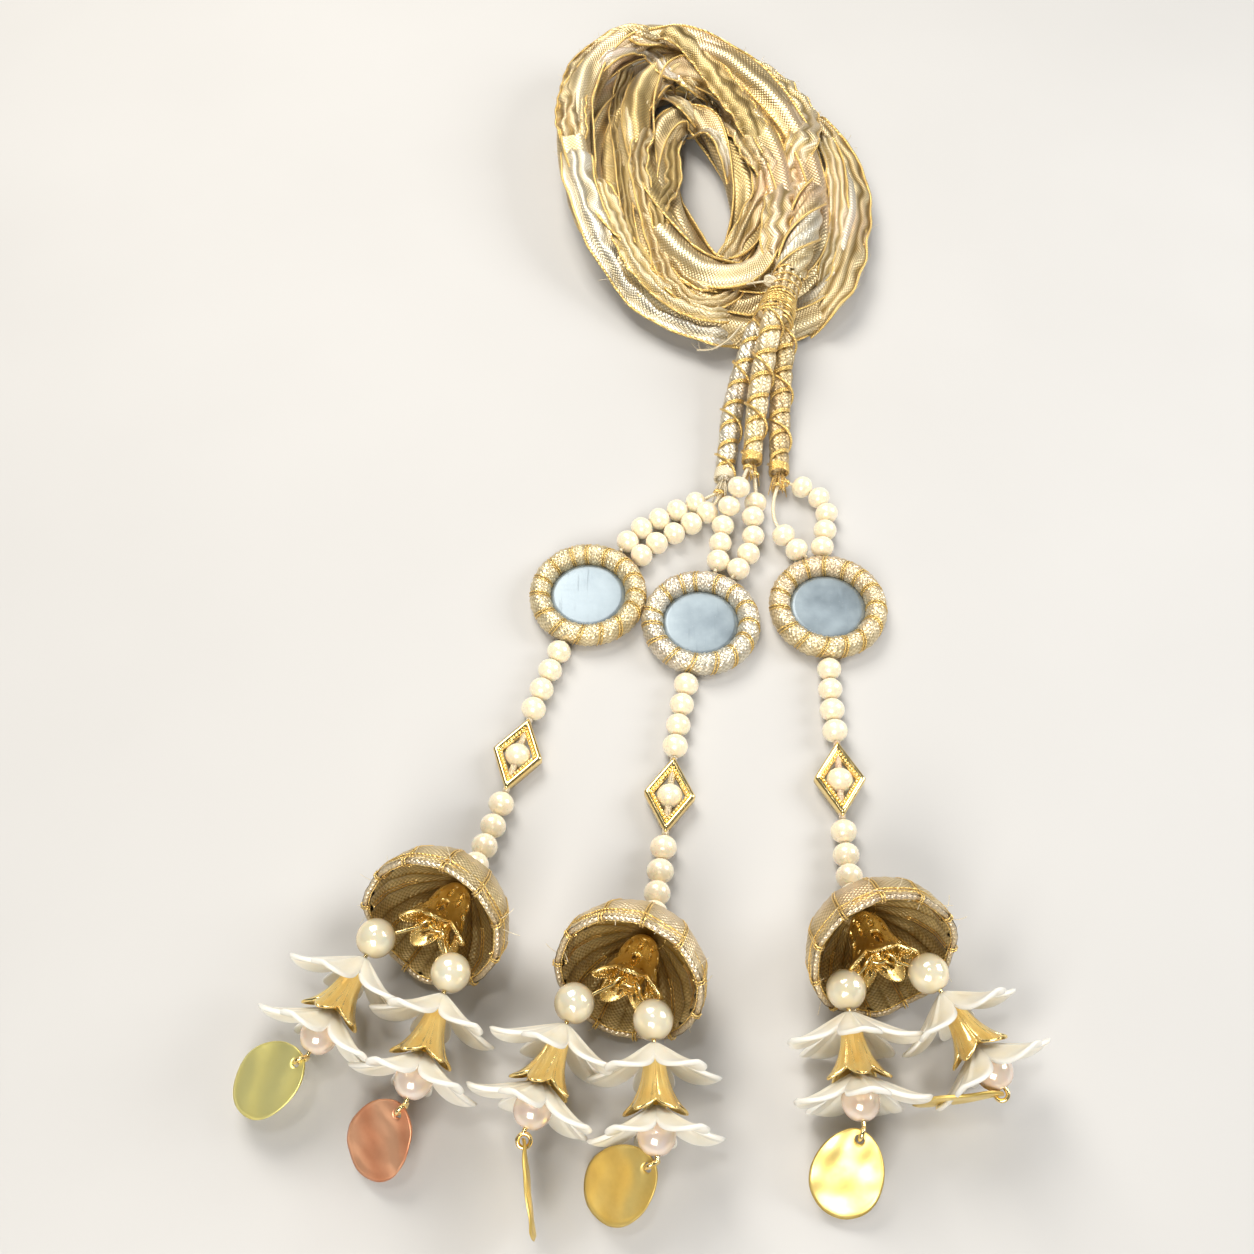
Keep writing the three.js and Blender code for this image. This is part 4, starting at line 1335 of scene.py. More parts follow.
class PearlThreader:
    """Sets small pearls on chosen places with the pearl tree."""

    def __init__(self) -> None:
        """Makes the pearl that is copied."""
        skin = Skin()
        level = Stand(np.zeros(3), np.array([0.0, 1.0, 0.0]))
        points, flat = ball(level, 1000.0, 1000.0 * PEARL_LENGTH / (2 * PEARL_RADIUS), 20, 28)
        risen = np.stack([points[..., 0], -points[..., 2], points[..., 1]], axis=2)
        skin.grid(risen - SHIFT, flat, around=True)
        self.shape = skin.build("pearl_shape", material(Finish.PEARL))

    def string(self, name: str, pearls: list, finish: Finish, seed: int) -> bpy.types.Object:
        """Threads pearls.

        Args:
            name: the piece's name.
            pearls: the middle of each and the direction of its hole.
            finish: their finish.
            seed: chooses their small differences.

        Returns:
            The finished piece.
        """
        chance = np.random.default_rng(seed)
        count = len(pearls)
        middles = (np.array([middle for middle, _ in pearls]) + SHIFT) * MM
        mesh = bpy.data.meshes.new(name + "_points")
        mesh.from_pydata(middles.tolist(), [], [])
        axes = np.array([along for _, along in pearls], np.float32)
        axes = unit(axes + chance.normal(0, 0.06, (count, 3)))
        kept = mesh.attributes.new("axis", "FLOAT_VECTOR", "POINT").data
        kept.foreach_set("vector", axes.astype(np.float32).ravel())
        sizes = PEARL_RADIUS * MM * chance.uniform(0.965, 1.0, count)
        for label, numbers in (("size", sizes), ("tint", chance.uniform(0, 1, count))):
            kept = mesh.attributes.new(label, "FLOAT", "POINT").data
            kept.foreach_set("value", numbers.astype(np.float32))
        values = {"Pearl": self.shape, "Finish": material(finish)}
        return tree(pearl_tree).grow(name, linked(name + "_points", mesh), values)

    def close(self) -> None:
        """Removes the pearl that was copied."""
        bpy.data.objects.remove(self.shape)


def surface_of(node: str) -> object:
    """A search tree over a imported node's faces, for finding places on it."""
    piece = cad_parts[node]
    corners = [piece.matrix_world @ v.co for v in piece.data.vertices]
    return BVHTree.FromPolygons(corners, [tuple(p.vertices) for p in piece.data.polygons])


@dataclass(frozen=True)
class Bundle:
    """One oval ring of the hank: its middle, half sizes, tilt, heights and twist."""

    x: float
    y: float
    across: float
    along: float
    tilt: float
    low: float
    rise: float
    phase: float
    turns: int

    def path(self, steps: int) -> np.ndarray:
        """The ring's middle line."""
        turn = turn_steps(steps)
        tilt = math.radians(self.tilt)
        side, rise = self.across * np.cos(turn), self.along * np.sin(turn)
        x = self.x + side * math.cos(tilt) - rise * math.sin(tilt)
        y = self.y + side * math.sin(tilt) + rise * math.cos(tilt)
        lift = self.low + self.rise * (1 + np.cos(turn + tilt - math.radians(self.phase))) / 2
        return np.stack([x, y, lift], axis=1)


@dataclass(frozen=True)
class Strip:
    """A ribbon that lies over the hank, marked in the photograph's pixels."""

    marks: tuple
    half: float
    finish: Finish
    pleats: float = 2.4
    deep: float = 0.5
    lift: float = 1.0


@dataclass
class RibbonHank:
    """The hank of metallic ribbons: five twisted rings, ribbons laid over them, edges and fuzz.

    Lengths are in millimetres. A crease is about crease_pitch long, a laid ribbon has a row every
    strip_step, and a mark that misses the hank takes the place on it nearest to miss_offset.
    """

    half_width: float = 5.0
    half_height: float = 4.1
    cut_width: float = 15.0
    columns: int = 17
    crease_pitch: float = 26.0
    strip_step: float = 1.1
    fewest_rows: int = 24
    mark_height: float = 6.0
    miss_offset: tuple = (0, -4, 6)
    smoothed_rows: int = 9
    looks: tuple = (
        (Finish.SILVERY, Finish.CHAMPAGNE, Finish.PALE_GOLD),
        (Finish.CHAMPAGNE, Finish.PALE_GOLD, Finish.CHAMPAGNE),
        (Finish.PALE_GOLD, Finish.CHAMPAGNE, Finish.WOVEN_DARK),
        (Finish.CHAMPAGNE, Finish.WOVEN_DARK, Finish.PALE_GOLD),
        (Finish.WOVEN_DARK, Finish.CHAMPAGNE, Finish.CHAMPAGNE),
    )
    feed_looks: tuple = (Finish.PALE_GOLD, Finish.CHAMPAGNE, Finish.SILVERY)
    bundles: tuple = (
        Bundle(27.7, 159.5, 39.2, 62.5, 12, 4.7, 1.5, 90, 1),
        Bundle(20, 162, 35, 58.5, 14, 4.7, 13, 100, -1),
        Bundle(27, 159, 28.5, 53, 12, 4.7, 2, 80, 1),
        Bundle(24.5, 162, 20.5, 49, 10, 8.6, 4.5, 70, -1),
        Bundle(24, 156, 12.5, 35, 8, 5.2, 3, 90, 1),
    )
    feed: tuple = ((46.0, 109.0, 14), (49.6, 119, 15), (53, 131, 15.2), (55, 145, 15))
    strips: tuple = (
        Strip(((575, 150), (571, 112), (573, 80), (590, 54), (625, 32), (650, 37), (670, 55),
            (692, 78), (714, 106), (737, 134), (762, 160), (774, 182)), 4.6, Finish.CHAMPAGNE,
            pleats=3),
        Strip(((648, 28), (680, 38), (702, 61), (726, 92), (746, 118), (760, 146)), 4.4,
            Finish.WOVEN_DARK, pleats=2, deep=0.25, lift=1.9),
        Strip(((688, 33), (722, 43), (746, 54), (764, 76), (786, 95), (803, 117), (801, 146),
            (790, 172), (780, 204), (776, 238), (782, 284)), 4.6, Finish.PALE_GOLD, lift=1.6),
        Strip(((800, 108), (838, 146), (856, 196), (850, 258), (830, 300), (806, 326)), 4.2,
            Finish.CHAMPAGNE, pleats=3, deep=0.3),
        Strip(((815, 128), (832, 160), (838, 205), (834, 250), (822, 285)), 3.0, Finish.PALE_GOLD,
            pleats=3, lift=1.8),
        Strip(((748, 150), (764, 186), (750, 222), (730, 258), (708, 281), (688, 274),
            (668, 240)), 3.4, Finish.CHAMPAGNE),
        Strip(((668, 240), (658, 212), (672, 186), (684, 152), (682, 132)), 2.6,
            Finish.WOVEN_DARK),
        Strip(((650, 120), (638, 163), (645, 199), (657, 247), (672, 285), (700, 306), (730, 299),
            (742, 276)), 2.8, Finish.CHAMPAGNE, lift=1.3),
        Strip(((632, 70), (616, 110), (621, 160), (625, 199), (634, 247), (656, 284)), 2.0,
            Finish.WOVEN_DARK, lift=1.8),
        Strip(((571, 138), (580, 182), (595, 223), (615, 261), (636, 294), (670, 318), (710, 331),
            (744, 330)), 4.8, Finish.SILVERY, pleats=2.6, lift=1.2),
        Strip(((592, 168), (609, 208), (626, 247), (650, 283), (676, 305), (710, 318),
            (748, 312)), 3.2, Finish.PALE_GOLD, lift=1.9),
        Strip(((640, 112), (662, 103), (684, 110), (704, 122)), 2.4, Finish.PALE_GOLD, lift=2.6),
        Strip(((652, 92), (670, 90), (692, 98)), 2.2, Finish.SILVERY, lift=2.6),
        Strip(((688, 128), (703, 148), (710, 168), (724, 184)), 1.8, Finish.SILVERY, lift=2.0),
        Strip(((590, 70), (622, 52), (648, 56), (668, 72), (692, 96), (718, 128)), 3.0,
            Finish.SILVERY),
    )
    rings: dict = field(init=False, default_factory=dict)
    edges: list = field(init=False, default_factory=list)
    ring_edges: list = field(init=False, default_factory=list)
    lengths: dict = field(init=False, default_factory=dict)

    def skin(self, finish: Finish) -> Skin:
        """The mesh maker of one ribbon finish."""
        return self.rings.setdefault(finish, Skin())

    def wrap(
        self,
        path: np.ndarray,
        finish: Finish,
        start: float,
        turns: float,
        closed: bool,
        seed: int,
        radii: tuple[float, float],
        arc: float = 165.0,
        pleats: float = 2.3,
    ) -> None:
        """Winds one ribbon round a bundle's middle line.

        Args:
            path: the middle line.
            finish: the ribbon's finish.
            start: degrees round the bundle where it starts.
            turns: turns round the bundle from start to end.
            closed: whether the line is a ring.
            seed: chooses its creases.
            radii: half the bundle's width and height.
            arc: degrees of the bundle that the ribbon covers.
            pleats: lengthwise pleats.
        """
        steps = len(path)
        along, across, upright = path_frames(path, closed)
        share = np.arange(steps) / (steps if closed else steps - 1)
        sideways = np.linspace(-1, 1, self.columns)[None, :]
        turned = math.radians(start) + turns * TURN * share[:, None]
        section = turned + sideways * math.radians(arc) / 2
        length = path_length(path, closed)
        run = share[:, None] * TURN + 0 * sideways
        rounds = max(3, round(length / self.crease_pitch))
        wander = whole_ripple(seed, run, rounds) if closed else 0.0
        crease = whole_ripple(seed + 50, run, rounds * 3)
        wave = np.sin(math.pi * pleats * sideways + crease * 0.3 + wander * 0.9)
        pucker = whole_ripple(seed + 90, run, rounds * 6) * np.sin(sideways * 5 + seed)
        out = 1 + 0.11 * sideways + 0.10 * wave + 0.05 * wander + 0.015 * pucker
        side = (radii[0] * out * np.sin(section))[..., None] * across[:, None, :]
        rise = (radii[1] * out * np.cos(section))[..., None] * upright[:, None, :]
        points = path[:, None, :] + side + rise
        shade = np.clip(0.42 - 0.6 * wave, 0, 1) * (0.6 + 0.4 * (np.cos(section) < 0.2))
        stretch = np.linspace(0, length, steps + 1 if closed else steps)
        flat = flat_grid((sideways[0] + 1) * self.cut_width / 2, stretch)
        self.skin(finish).grid(points, flat, along=closed, mask=shade)
        self.lengths[finish] = self.lengths.get(finish, 0.0) + length
        target = self.ring_edges if closed else self.edges
        target.append(points[:, -1] + 0.12 * unit(side[:, -1] + rise[:, -1]))
        target.append(points[:, 0])

    def lay(self, strip: Strip, carrier: object, seed: int) -> None:
        """Lays one marked ribbon on the hank.

        Args:
            strip: the ribbon.
            carrier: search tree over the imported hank.
            seed: chooses its creases.
        """
        eye = scene_point(VIEW.eye())
        rough = []
        for mark in VIEW.route(tuple((*mark, self.mark_height) for mark in strip.marks)):
            hit = carrier.ray_cast(eye, (scene_point(mark) - eye).normalized())[0]
            beside = Vector(((mark + SHIFT + self.miss_offset) * MM).tolist())
            rough.append(np.array(hit or carrier.find_nearest(beside)[0]) / MM - SHIFT)
        rough = np.array(rough)
        path = smooth_route(rough, max(self.fewest_rows, int(path_length(rough) / self.strip_step)))
        window = np.ones(self.smoothed_rows) / self.smoothed_rows
        padded = np.pad(path[:, 2], self.smoothed_rows // 2, mode="edge")
        path[:, 2] = np.convolve(padded, window, mode="valid") + strip.lift
        along, across, upright = path_frames(path)
        share = np.linspace(0, 1, len(path))[:, None]
        sideways = np.linspace(-1, 1, self.columns)[None, :]
        length = path_length(path)
        steady = share * length / 11
        drift = ripple(seed, steady, sideways * 0.5)
        crease = ripple(seed + 30, steady * 2.2, sideways * 0.8)
        wave = np.sin(math.pi * strip.pleats * sideways + drift * 1.1 + crease * 0.15)
        tuck = np.clip(np.minimum(share, 1 - share) * length / 9, 0, 1)
        tuck = tuck * tuck * (3 - 2 * tuck)
        half = strip.half * (1 + 0.10 * drift) * (0.45 + 0.55 * tuck)
        dome = strip.half * 0.34 * (1 - sideways**2)
        height = dome - strip.half * 0.2 + strip.deep * wave + 0.1 * crease
        height = height - (strip.lift + 3.0) * (1 - tuck)
        side = (half * sideways)[..., None] * across[:, None, :]
        points = path[:, None, :] + side + height[..., None] * upright[:, None, :]
        shade = np.clip(0.4 - 0.6 * wave, 0, 1) * np.ones_like(share)
        flat = flat_grid((sideways[0] + 1) * self.cut_width / 2, share[:, 0] * length)
        self.skin(strip.finish).grid(points, flat, mask=shade)
        self.lengths[strip.finish] = self.lengths.get(strip.finish, 0.0) + length
        self.edges.append(points[:, 0])
        self.edges.append(points[:, -1])

    def build(self) -> None:
        """Builds every ribbon of the hank."""
        carrier = surface_of("ribbon_hank")
        radii = (self.half_width, self.half_height)
        for number, (bundle, trio) in enumerate(zip(self.bundles, self.looks)):
            path = bundle.path(260 if number < 3 else 190)
            for third, finish in enumerate(trio):
                self.wrap(path, finish, 120 * third, bundle.turns, True, 7 * number + third, radii)
        feed = smooth_route(np.array(self.feed), 44)
        for third, finish in enumerate(self.feed_looks):
            radius = self.half_height
            self.wrap(feed, finish, 120 * third, 0.8, False, 60 + third, (radius, radius), 150)
        for number, strip in enumerate(self.strips):
            self.lay(strip, carrier, 100 + 5 * number)
        for finish, skin in self.rings.items():
            name = "hank_" + finish.value.name
            made = skin.build(name, material(finish), closed=False, weld=False)
            settle(made, "gold_ribbon", "ribbon_hank")
        threads("hank_edge_cords", self.edges, 0.4, step=1.2, sides=5)
        beads("hank_picots", self.edges, 0.42, 1.1, Finish.GOLD_THREAD)
        threads("hank_ring_cords", self.ring_edges, 0.4, step=1.6, sides=5, closed=True)
        fibres("hank_loose_fibres", self.edges, 3.2, 3.0, Finish.PALE_THREAD, 5)


@dataclass
class BoundNeck:
    """The gathered neck: fluted ribbon, a dense winding of thread, a knot and loose ends.

    A winding has the shares of the neck's length where it starts and ends, its turns, and how far
    it stands off the ribbon. The tail's marks are picture pixels and heights in millimetres.
    """

    start: tuple = (40.1, 89.5)
    end: tuple = (46.6, 111.0)
    length: float = 22.0
    radius: float = 4.5
    height: float = 14.0
    outline: tuple = ((0, 0.95), (0.05, 1.2), (0.2, 1.16), (0.4, 0.95), (0.8, 0.92), (1, 1.0))
    flutes: int = 11
    dense: tuple = ((0.22, 0.54, 5, 0.25), (0.26, 0.46, 4, 0.5), (0.03, 0.14, 2, 0.3))
    loose: tuple = ((0.54, 0.95, 3, 0.2), (0.1, 0.24, 2, 0.2))
    knot_place: tuple = (1.06, -1.0, 15.0)
    tuft: tuple = ((0, 0, 0), (-3.0, -1.0, 0.6), (-6.5, 0.4, -1.4))
    tail_marks: tuple = ((744, 322, 12.0), (728, 340, 8.0), (712, 349, 5.0), (697, 350, 3.4))

    def build(self) -> None:
        """Builds the neck."""
        start = np.array([*self.start, self.height])
        place = Stand(start, np.array([*self.end, self.height]) - start)
        share = np.linspace(0, 1, 70)[:, None]
        around = turn_steps(156)[None, :]
        corners = np.array(self.outline)
        radius = np.interp(share, corners[:, 0], corners[:, 1]) * self.radius
        fold = np.abs(np.sin(around * self.flutes / 2 + share * 2.2)) ** 0.7
        small = whole_ripple(4, around + share * 3, 17)
        out = radius * (0.86 + 0.16 * fold + 0.02 * small)
        close = rounded_ends(share, 0.03, 0.03)
        points = place.put(out * close, around, share * self.length)
        flat = flat_grid(np.linspace(0, TURN * self.radius, 157), share[:, 0] * self.length)
        # Painted shade: the mask darkens the valleys between the flutes.
        look = {"flat": flat, "mask": (1 - fold) * np.ones_like(share)}
        ribbon = shell("neck_ribbon", Finish.CHAMPAGNE, "gold_ribbon", points, "bound_neck", **look)

        def coil(low: float, high: float, turns: float, off: float) -> np.ndarray:
            """A thread wound round the neck between two shares of its length."""
            at = np.linspace(low, high, int(turns * 22))
            wide = np.interp(at, corners[:, 0], corners[:, 1]) * self.radius * 0.99 + off
            angle = np.linspace(0, turns * TURN, len(at))
            return place.put(wide, angle, at * self.length)

        threads("neck_winding", [coil(*winding) for winding in self.dense], 0.36)
        threads("neck_loose_threads", [coil(*winding) for winding in self.loose], 0.24)
        out, angle, at = self.knot_place
        knot_at = place.put(self.radius * out, angle, at)
        knot = []
        for turn in range(4):
            lean = np.linspace(0, TURN, 26)
            loop = np.stack(
                [
                    1.5 * np.cos(lean + turn),
                    1.1 * np.sin(lean) * math.cos(turn * 0.8),
                    1.2 * np.sin(lean + turn * 0.7) * math.sin(0.6 + turn),
                ],
                axis=1,
            )
            knot.append(knot_at + loop)
        threads("neck_knot", knot, 0.5, Finish.PALE_THREAD, slot="gold_ribbon")
        tail = smooth_route(VIEW.route(self.tail_marks), 40)
        ends = [smooth_route(knot_at + np.array(self.tuft), 30), tail]
        threads("neck_thread_ends", ends, 0.3, Finish.PALE_THREAD, slot="gold_ribbon")
        fibres("neck_fuzz", [ends[0], ends[1][16:]], 0.35, 3.2, Finish.PALE_THREAD, 9)


@dataclass
class WoundStems:
    """The three stems: crumpled ribbon wound with gold thread, each with its own end."""

    radius: float = 3.0
    end_radius: float = 2.3
    pitch: float = 6.8
    looks: tuple = (Finish.SILVERY, Finish.PALE_GOLD, Finish.CHAMPAGNE)
    fringe: tuple = (26, 26, 46)
    end_turns: float = 6.5

    def build(self) -> None:
        """Builds each stem with its threads."""
        for number, (side, finish) in enumerate(zip(CHAINS, self.looks)):
            self.stem(side, finish, number)

    def stem(self, side: Side, finish: Finish, seed: int) -> None:
        """Builds one stem.

        Args:
            side: the chain it carries.
            finish: its ribbon's finish.
            seed: chooses its creases.
        """
        marks = np.array(side.stem)
        inside = marks[0] + unit(marks[0] - marks[1]) * 4.0
        path = smooth_route(np.concatenate([[inside], marks]), 136)
        length = path_length(path)
        along, across, upright = path_frames(path)
        share = np.linspace(0, 1, len(path))[:, None]
        around = turn_steps(72)[None, :]
        turns = length / self.pitch
        pinch = 0.5 + 0.5 * np.cos(TURN * turns * share - around)
        fold = np.abs(np.sin(around * 3.5 + share * 9 + seed)) ** 0.8
        crumple = whole_ripple(seed + 3, around + 14 * share, 11)
        taper = self.radius + (self.end_radius - self.radius) * share**3
        out = taper * (1.0 - 0.20 * pinch**6 + 0.10 * (fold - 0.6) + 0.035 * crumple)
        out = out * rounded_ends(share, 0.012, 0.03)
        side_way = (out * np.sin(around))[..., None] * across[:, None, :]
        rise = (out * np.cos(around))[..., None] * upright[:, None, :]
        points = path[:, None, :] + side_way + rise
        whole = np.linspace(0, TURN * self.radius, 73)
        flat = flat_grid(whole, share[:, 0] * length)
        # Painted shade: the mask darkens the stem in the grooves where the thread pinches it and in
        # its folds.
        look = {"flat": flat, "mask": np.clip(pinch**4 + 0.5 * (1 - fold), 0, 1)}
        name = "stem_" + side.name
        made = shell(name + "_ribbon", finish, "gold_ribbon", points, "wound_" + name, **look)
        coils = []
        for sign, shift, off in ((1, 0.0, -0.02), (1, 0.55, 0.02), (-1, 1.8, 0.3)):
            at = np.linspace(0.02, 0.975, int(turns * 30))
            angle = sign * TURN * turns * at + shift
            if sign < 0:
                angle = angle * 0.45
            inner = 1 - 0.19 * (sign > 0)
            wide = np.interp(at, share[:, 0], taper[:, 0]) * inner + off + 0.2
            base, over, lift = (
                np.stack([np.interp(at, share[:, 0], line[:, k]) for k in range(3)], axis=1)
                for line in (path, across, upright)
            )
            beside, above = (wide * np.sin(angle))[:, None], (wide * np.cos(angle))[:, None]
            coils.append(base + (beside * over + above * lift))
        threads(name + "_threads", coils, 0.36, step=0.7)
        self.ending(side, path, (along[-1], across[-1], upright[-1]), self.fringe[seed])

    def ending(self, side: Side, path: np.ndarray, frame_at_end: tuple, hair_count: int) -> None:
        """Winds the stem's end: a dense winding and a short fringe.

        Args:
            side: the stem's chain.
            path: the stem's middle line.
            frame_at_end: directions along, across and up at its end.
            hair_count: threads in the fringe.
        """
        along, across, upright = frame_at_end
        coil = []
        steps = self.end_turns * 20
        for i, angle in enumerate(np.linspace(0, TURN * self.end_turns, int(steps))):
            at = -9 + 7 * i / steps
            k = int(math.floor(at))
            part = at - k
            base = path[k - 1] * (1 - part) + path[k] * part if k < -1 else path[-1]
            off = math.sin(angle) * across + math.cos(angle) * upright
            coil.append(base + self.end_radius * 1.08 * off)
        finish = Finish.PALE_THREAD if side.name == "left" else Finish.GOLD_THREAD
        threads("stem_" + side.name + "_end_winding", [np.array(coil)], 0.34, finish, step=0.6)
        chance = np.random.default_rng(len(side.name))
        hairs = []
        for _ in range(hair_count):
            lean = chance.uniform(0, TURN)
            spread = chance.uniform(0.2, 1.0)
            reach = chance.uniform(2.2, 5.6)
            off = math.sin(lean) * across + math.cos(lean) * upright
            first = path[-1] + off * spread * 1.4
            last = first + along * reach + off * spread * reach * 0.35
            last[2] = max(last[2], 0.5)
            hairs.append(np.array([first, first * 0.45 + last * 0.55 + off * 0.25, last]))
        threads("stem_" + side.name + "_fringe", hairs, 0.14, finish, step=0.9, sides=4)


@dataclass
class BeadLoops:
    """The strings of small pearls between each stem's end and its disc."""

    threader: PearlThreader

    def build(self) -> None:
        """Builds both strings of each side."""
        for number, side in enumerate(CHAINS):
            pearls: list = []
            lines: list[np.ndarray] = []
            for bare, marks in side.loops:
                route = np.array([mark if len(mark) == 3 else (*mark, 3.0) for mark in marks])
                centre = side.disc(PEARL_RADIUS)
                edge = centre + unit(route[-1] - centre) * (DISC_RADIUS + GAP)
                line = smooth_route(np.concatenate([route, [edge]]), 400)
                length = path_length(line)
                count = int((length - bare) // PEARL_LENGTH)
                end = 0.3 * (length - bare - count * PEARL_LENGTH)
                first = length - end - count * PEARL_LENGTH
                along = unit(np.gradient(line, axis=0))
                for i in range(count):
                    k = int((first + (i + 0.5) * PEARL_LENGTH) / length * (len(line) - 1))
                    pearls.append((line[k], along[k]))
                lines.append(line[::8])
            starts = [np.array(marks[0]) for _, marks in side.loops]
            stem_end = np.array(side.stem[-1])
            knot = (starts[0] + starts[1]) / 2
            lines.append(np.array([starts[0], knot, starts[1]]))
            lines.append(np.array([knot, stem_end + unit(knot - stem_end) * LINK_GAP]))
            name = "loop_" + side.name
            made = self.threader.string(name + "_pearls", pearls, Finish.PEARL, 20 + number)
            settle(made, "pearl", "bead_loop_" + side.name)
            threads(name + "_thread", lines, THREAD_RADIUS, Finish.PALE_THREAD, slot="pearl")
            knots = []
            for start in starts:
                lean = np.linspace(0, 4 * math.pi, 40)
                coil = np.stack([np.cos(lean), 0.35 * (lean / 6.3 - 1), np.sin(lean)], axis=1)
                knots.append(start + coil * np.array([1.05, 1.0, 1.05]))
            threads(name + "_knots", knots, 0.34, step=0.5)


@dataclass
class PearlStrands:
    """The strands of small pearls from each disc to its bell."""

    threader: PearlThreader

    def build(self) -> None:
        """Builds each strand with its thread."""
        for number, side in enumerate(CHAINS):
            walk = WALKS[side.name]
            name = "strand_" + side.name
            made = self.threader.string(name + "_pearls", walk.pearls, Finish.PEARL, 40 + number)
            settle(made, "pearl", "pearl_strand_" + side.name)
            look = {"slot": "pearl", "step": 1.2}
            line = [np.array(walk.thread)]
            threads(name + "_thread", line, THREAD_RADIUS, Finish.PALE_THREAD, **look)
            self.tube(name, walk)

    def tube(self, name: str, walk: Walk) -> None:
        """Builds the wound tube inside the diamond frame."""
        start, end = walk.tube
        place = Stand(start, end - start)
        length = float(np.linalg.norm(end - start))
        at = np.linspace(0.0, length, 110)[:, None]
        around = turn_steps(20)[None, :]
        out = DIAMOND_TUBE * (0.94 + 0.06 * np.sin(at * TURN / 0.9 + around))
        out = out * rounded_ends(at, 0.2, 0.2, length)
        points = place.put(out, around, at)
        shell(name + "_tube", Finish.BRIGHT_FOLD, "pearl", points)


@dataclass
class MirrorDiscs:
    """The mirror discs: a padded ring wrapped with ribbon, its cords, and old mirror glass."""

    wraps: int = 15
    slant: float = 0.16
    waver: float = 0.12
    looks: tuple = (Finish.PALE_GOLD, Finish.SILVERY, Finish.PALE_GOLD)

    def build(self) -> None:
        """Builds each disc."""
        for number, side in enumerate(CHAINS):
            self.ring(side, number)
            self.glass(side)

    def ring(self, side: Side, seed: int) -> None:
        """Builds one padded ring with its backing and the cords over its wraps."""
        centre = side.disc()
        middle = (DISC_RADIUS + MIRROR_RADIUS - 0.1) / 2
        half = (DISC_RADIUS - MIRROR_RADIUS + 0.1) / 2
        around = turn_steps(300)[:, None]
        section = turn_steps(40)[None, :]
        chance = np.random.default_rng(seed + 5)
        shifts = chance.uniform(-0.25, 0.25, self.wraps)

        def surface(turn: np.ndarray, lean: np.ndarray, off: float = 0.0) -> tuple:
            """Points of the padded ring, and its painted shade: how deep each lies in a crease
            between wraps.
            """
            phase = turn * self.wraps / TURN + self.slant * np.sin(lean - 0.6)
            phase = phase + self.waver * whole_ripple(seed, turn, 6)
            cell = np.floor(phase).astype(int) % self.wraps
            within = phase - np.floor(phase)
            puff = np.sin(math.pi * within) ** 0.55
            hump = np.sin(math.pi * within)
            ribs = np.sin(TURN * within * (3 + cell % 2) + 3 * shifts[cell]) * hump
            swell = 0.86 + 0.14 * puff + 0.045 * ribs + 0.14 * shifts[cell] * hump
            width = half * swell + off
            tall = DISC_HEIGHT / 2 * swell + off
            out = middle + width * np.cos(lean)
            up = DISC_HEIGHT / 2 + tall * np.sin(lean)
            up = np.maximum(up, 0.02)
            x = centre[0] + out * np.sin(turn)
            y = centre[1] + out * np.cos(turn)
            return np.stack([x, y, up], axis=-1), 1 - puff

        # The crease value is painted shade: it darkens the padding in the dips between its wraps.
        points, crease = surface(around + 0 * section, section + 0 * around)
        flat = flat_grid(np.linspace(0, 18, 41), np.linspace(0, TURN * middle, 301))[..., ::-1]
        made = shell(
            "disc_" + side.name + "_padding", self.looks[seed], "gold_ribbon", points,
            "disc_ring_" + side.name, flat=flat, along=True, mask=crease,
        )
        cords = []
        for i in range(self.wraps):
            lean = turn_steps(44)
            turn = (i - self.slant * np.sin(lean - 0.6)) * TURN / self.wraps
            turn = turn - self.waver * whole_ripple(seed, turn, 6) * TURN / self.wraps
            for nudge in (0.03, -0.028):
                cords.append(surface(turn + nudge, lean, 0.10)[0])
        name = "disc_" + side.name + "_cords"
        threads(name, cords, 0.17, step=0.9, closed=True)
        self.backing(side)

    def turned(self, side: Side, rows: tuple, count: int) -> np.ndarray:
        """Points of an outline of radii and heights, turned round a disc's middle."""
        centre = side.disc()
        around = turn_steps(count)[None, :]
        out, up = np.array(rows)[:, :1], np.array(rows)[:, 1:]
        x = centre[0] + out * np.sin(around)
        y = centre[1] + out * np.cos(around)
        return np.stack([x, y, up + 0 * around], axis=2)

    def backing(self, side: Side) -> None:
        """Builds the cloth backing under the mirror."""
        rows = ((0, 0.1), (11.5, 0.1), (11.9, 0.7), (11.5, DISC_BACKING), (0, DISC_BACKING))
        name = "disc_" + side.name + "_backing"
        made = shell(name, Finish.CHAMPAGNE, "gold_ribbon", self.turned(side, rows, 60))

    def glass(self, side: Side) -> None:
        """Builds the mirror with a polished bevel."""
        rows = (
            (0, MIRROR_LOW),
            (MIRROR_RADIUS - 0.3, MIRROR_LOW),
            (MIRROR_RADIUS, MIRROR_LOW + 0.3),
            (MIRROR_RADIUS, 2.5),
            (MIRROR_RADIUS - 0.15, 2.7),
            (MIRROR_RADIUS - 1.0, MIRROR_HIGH),
            (MIRROR_RADIUS - 1.3, MIRROR_HIGH + 0.02),
            (4.5, MIRROR_HIGH + 0.05),
            (0, MIRROR_HIGH + 0.06),
        )
        name, node = "disc_" + side.name + "_mirror", "disc_mirror_" + side.name
        shell(name, Finish.MIRROR, "mirror", self.turned(side, rows, 96), node)


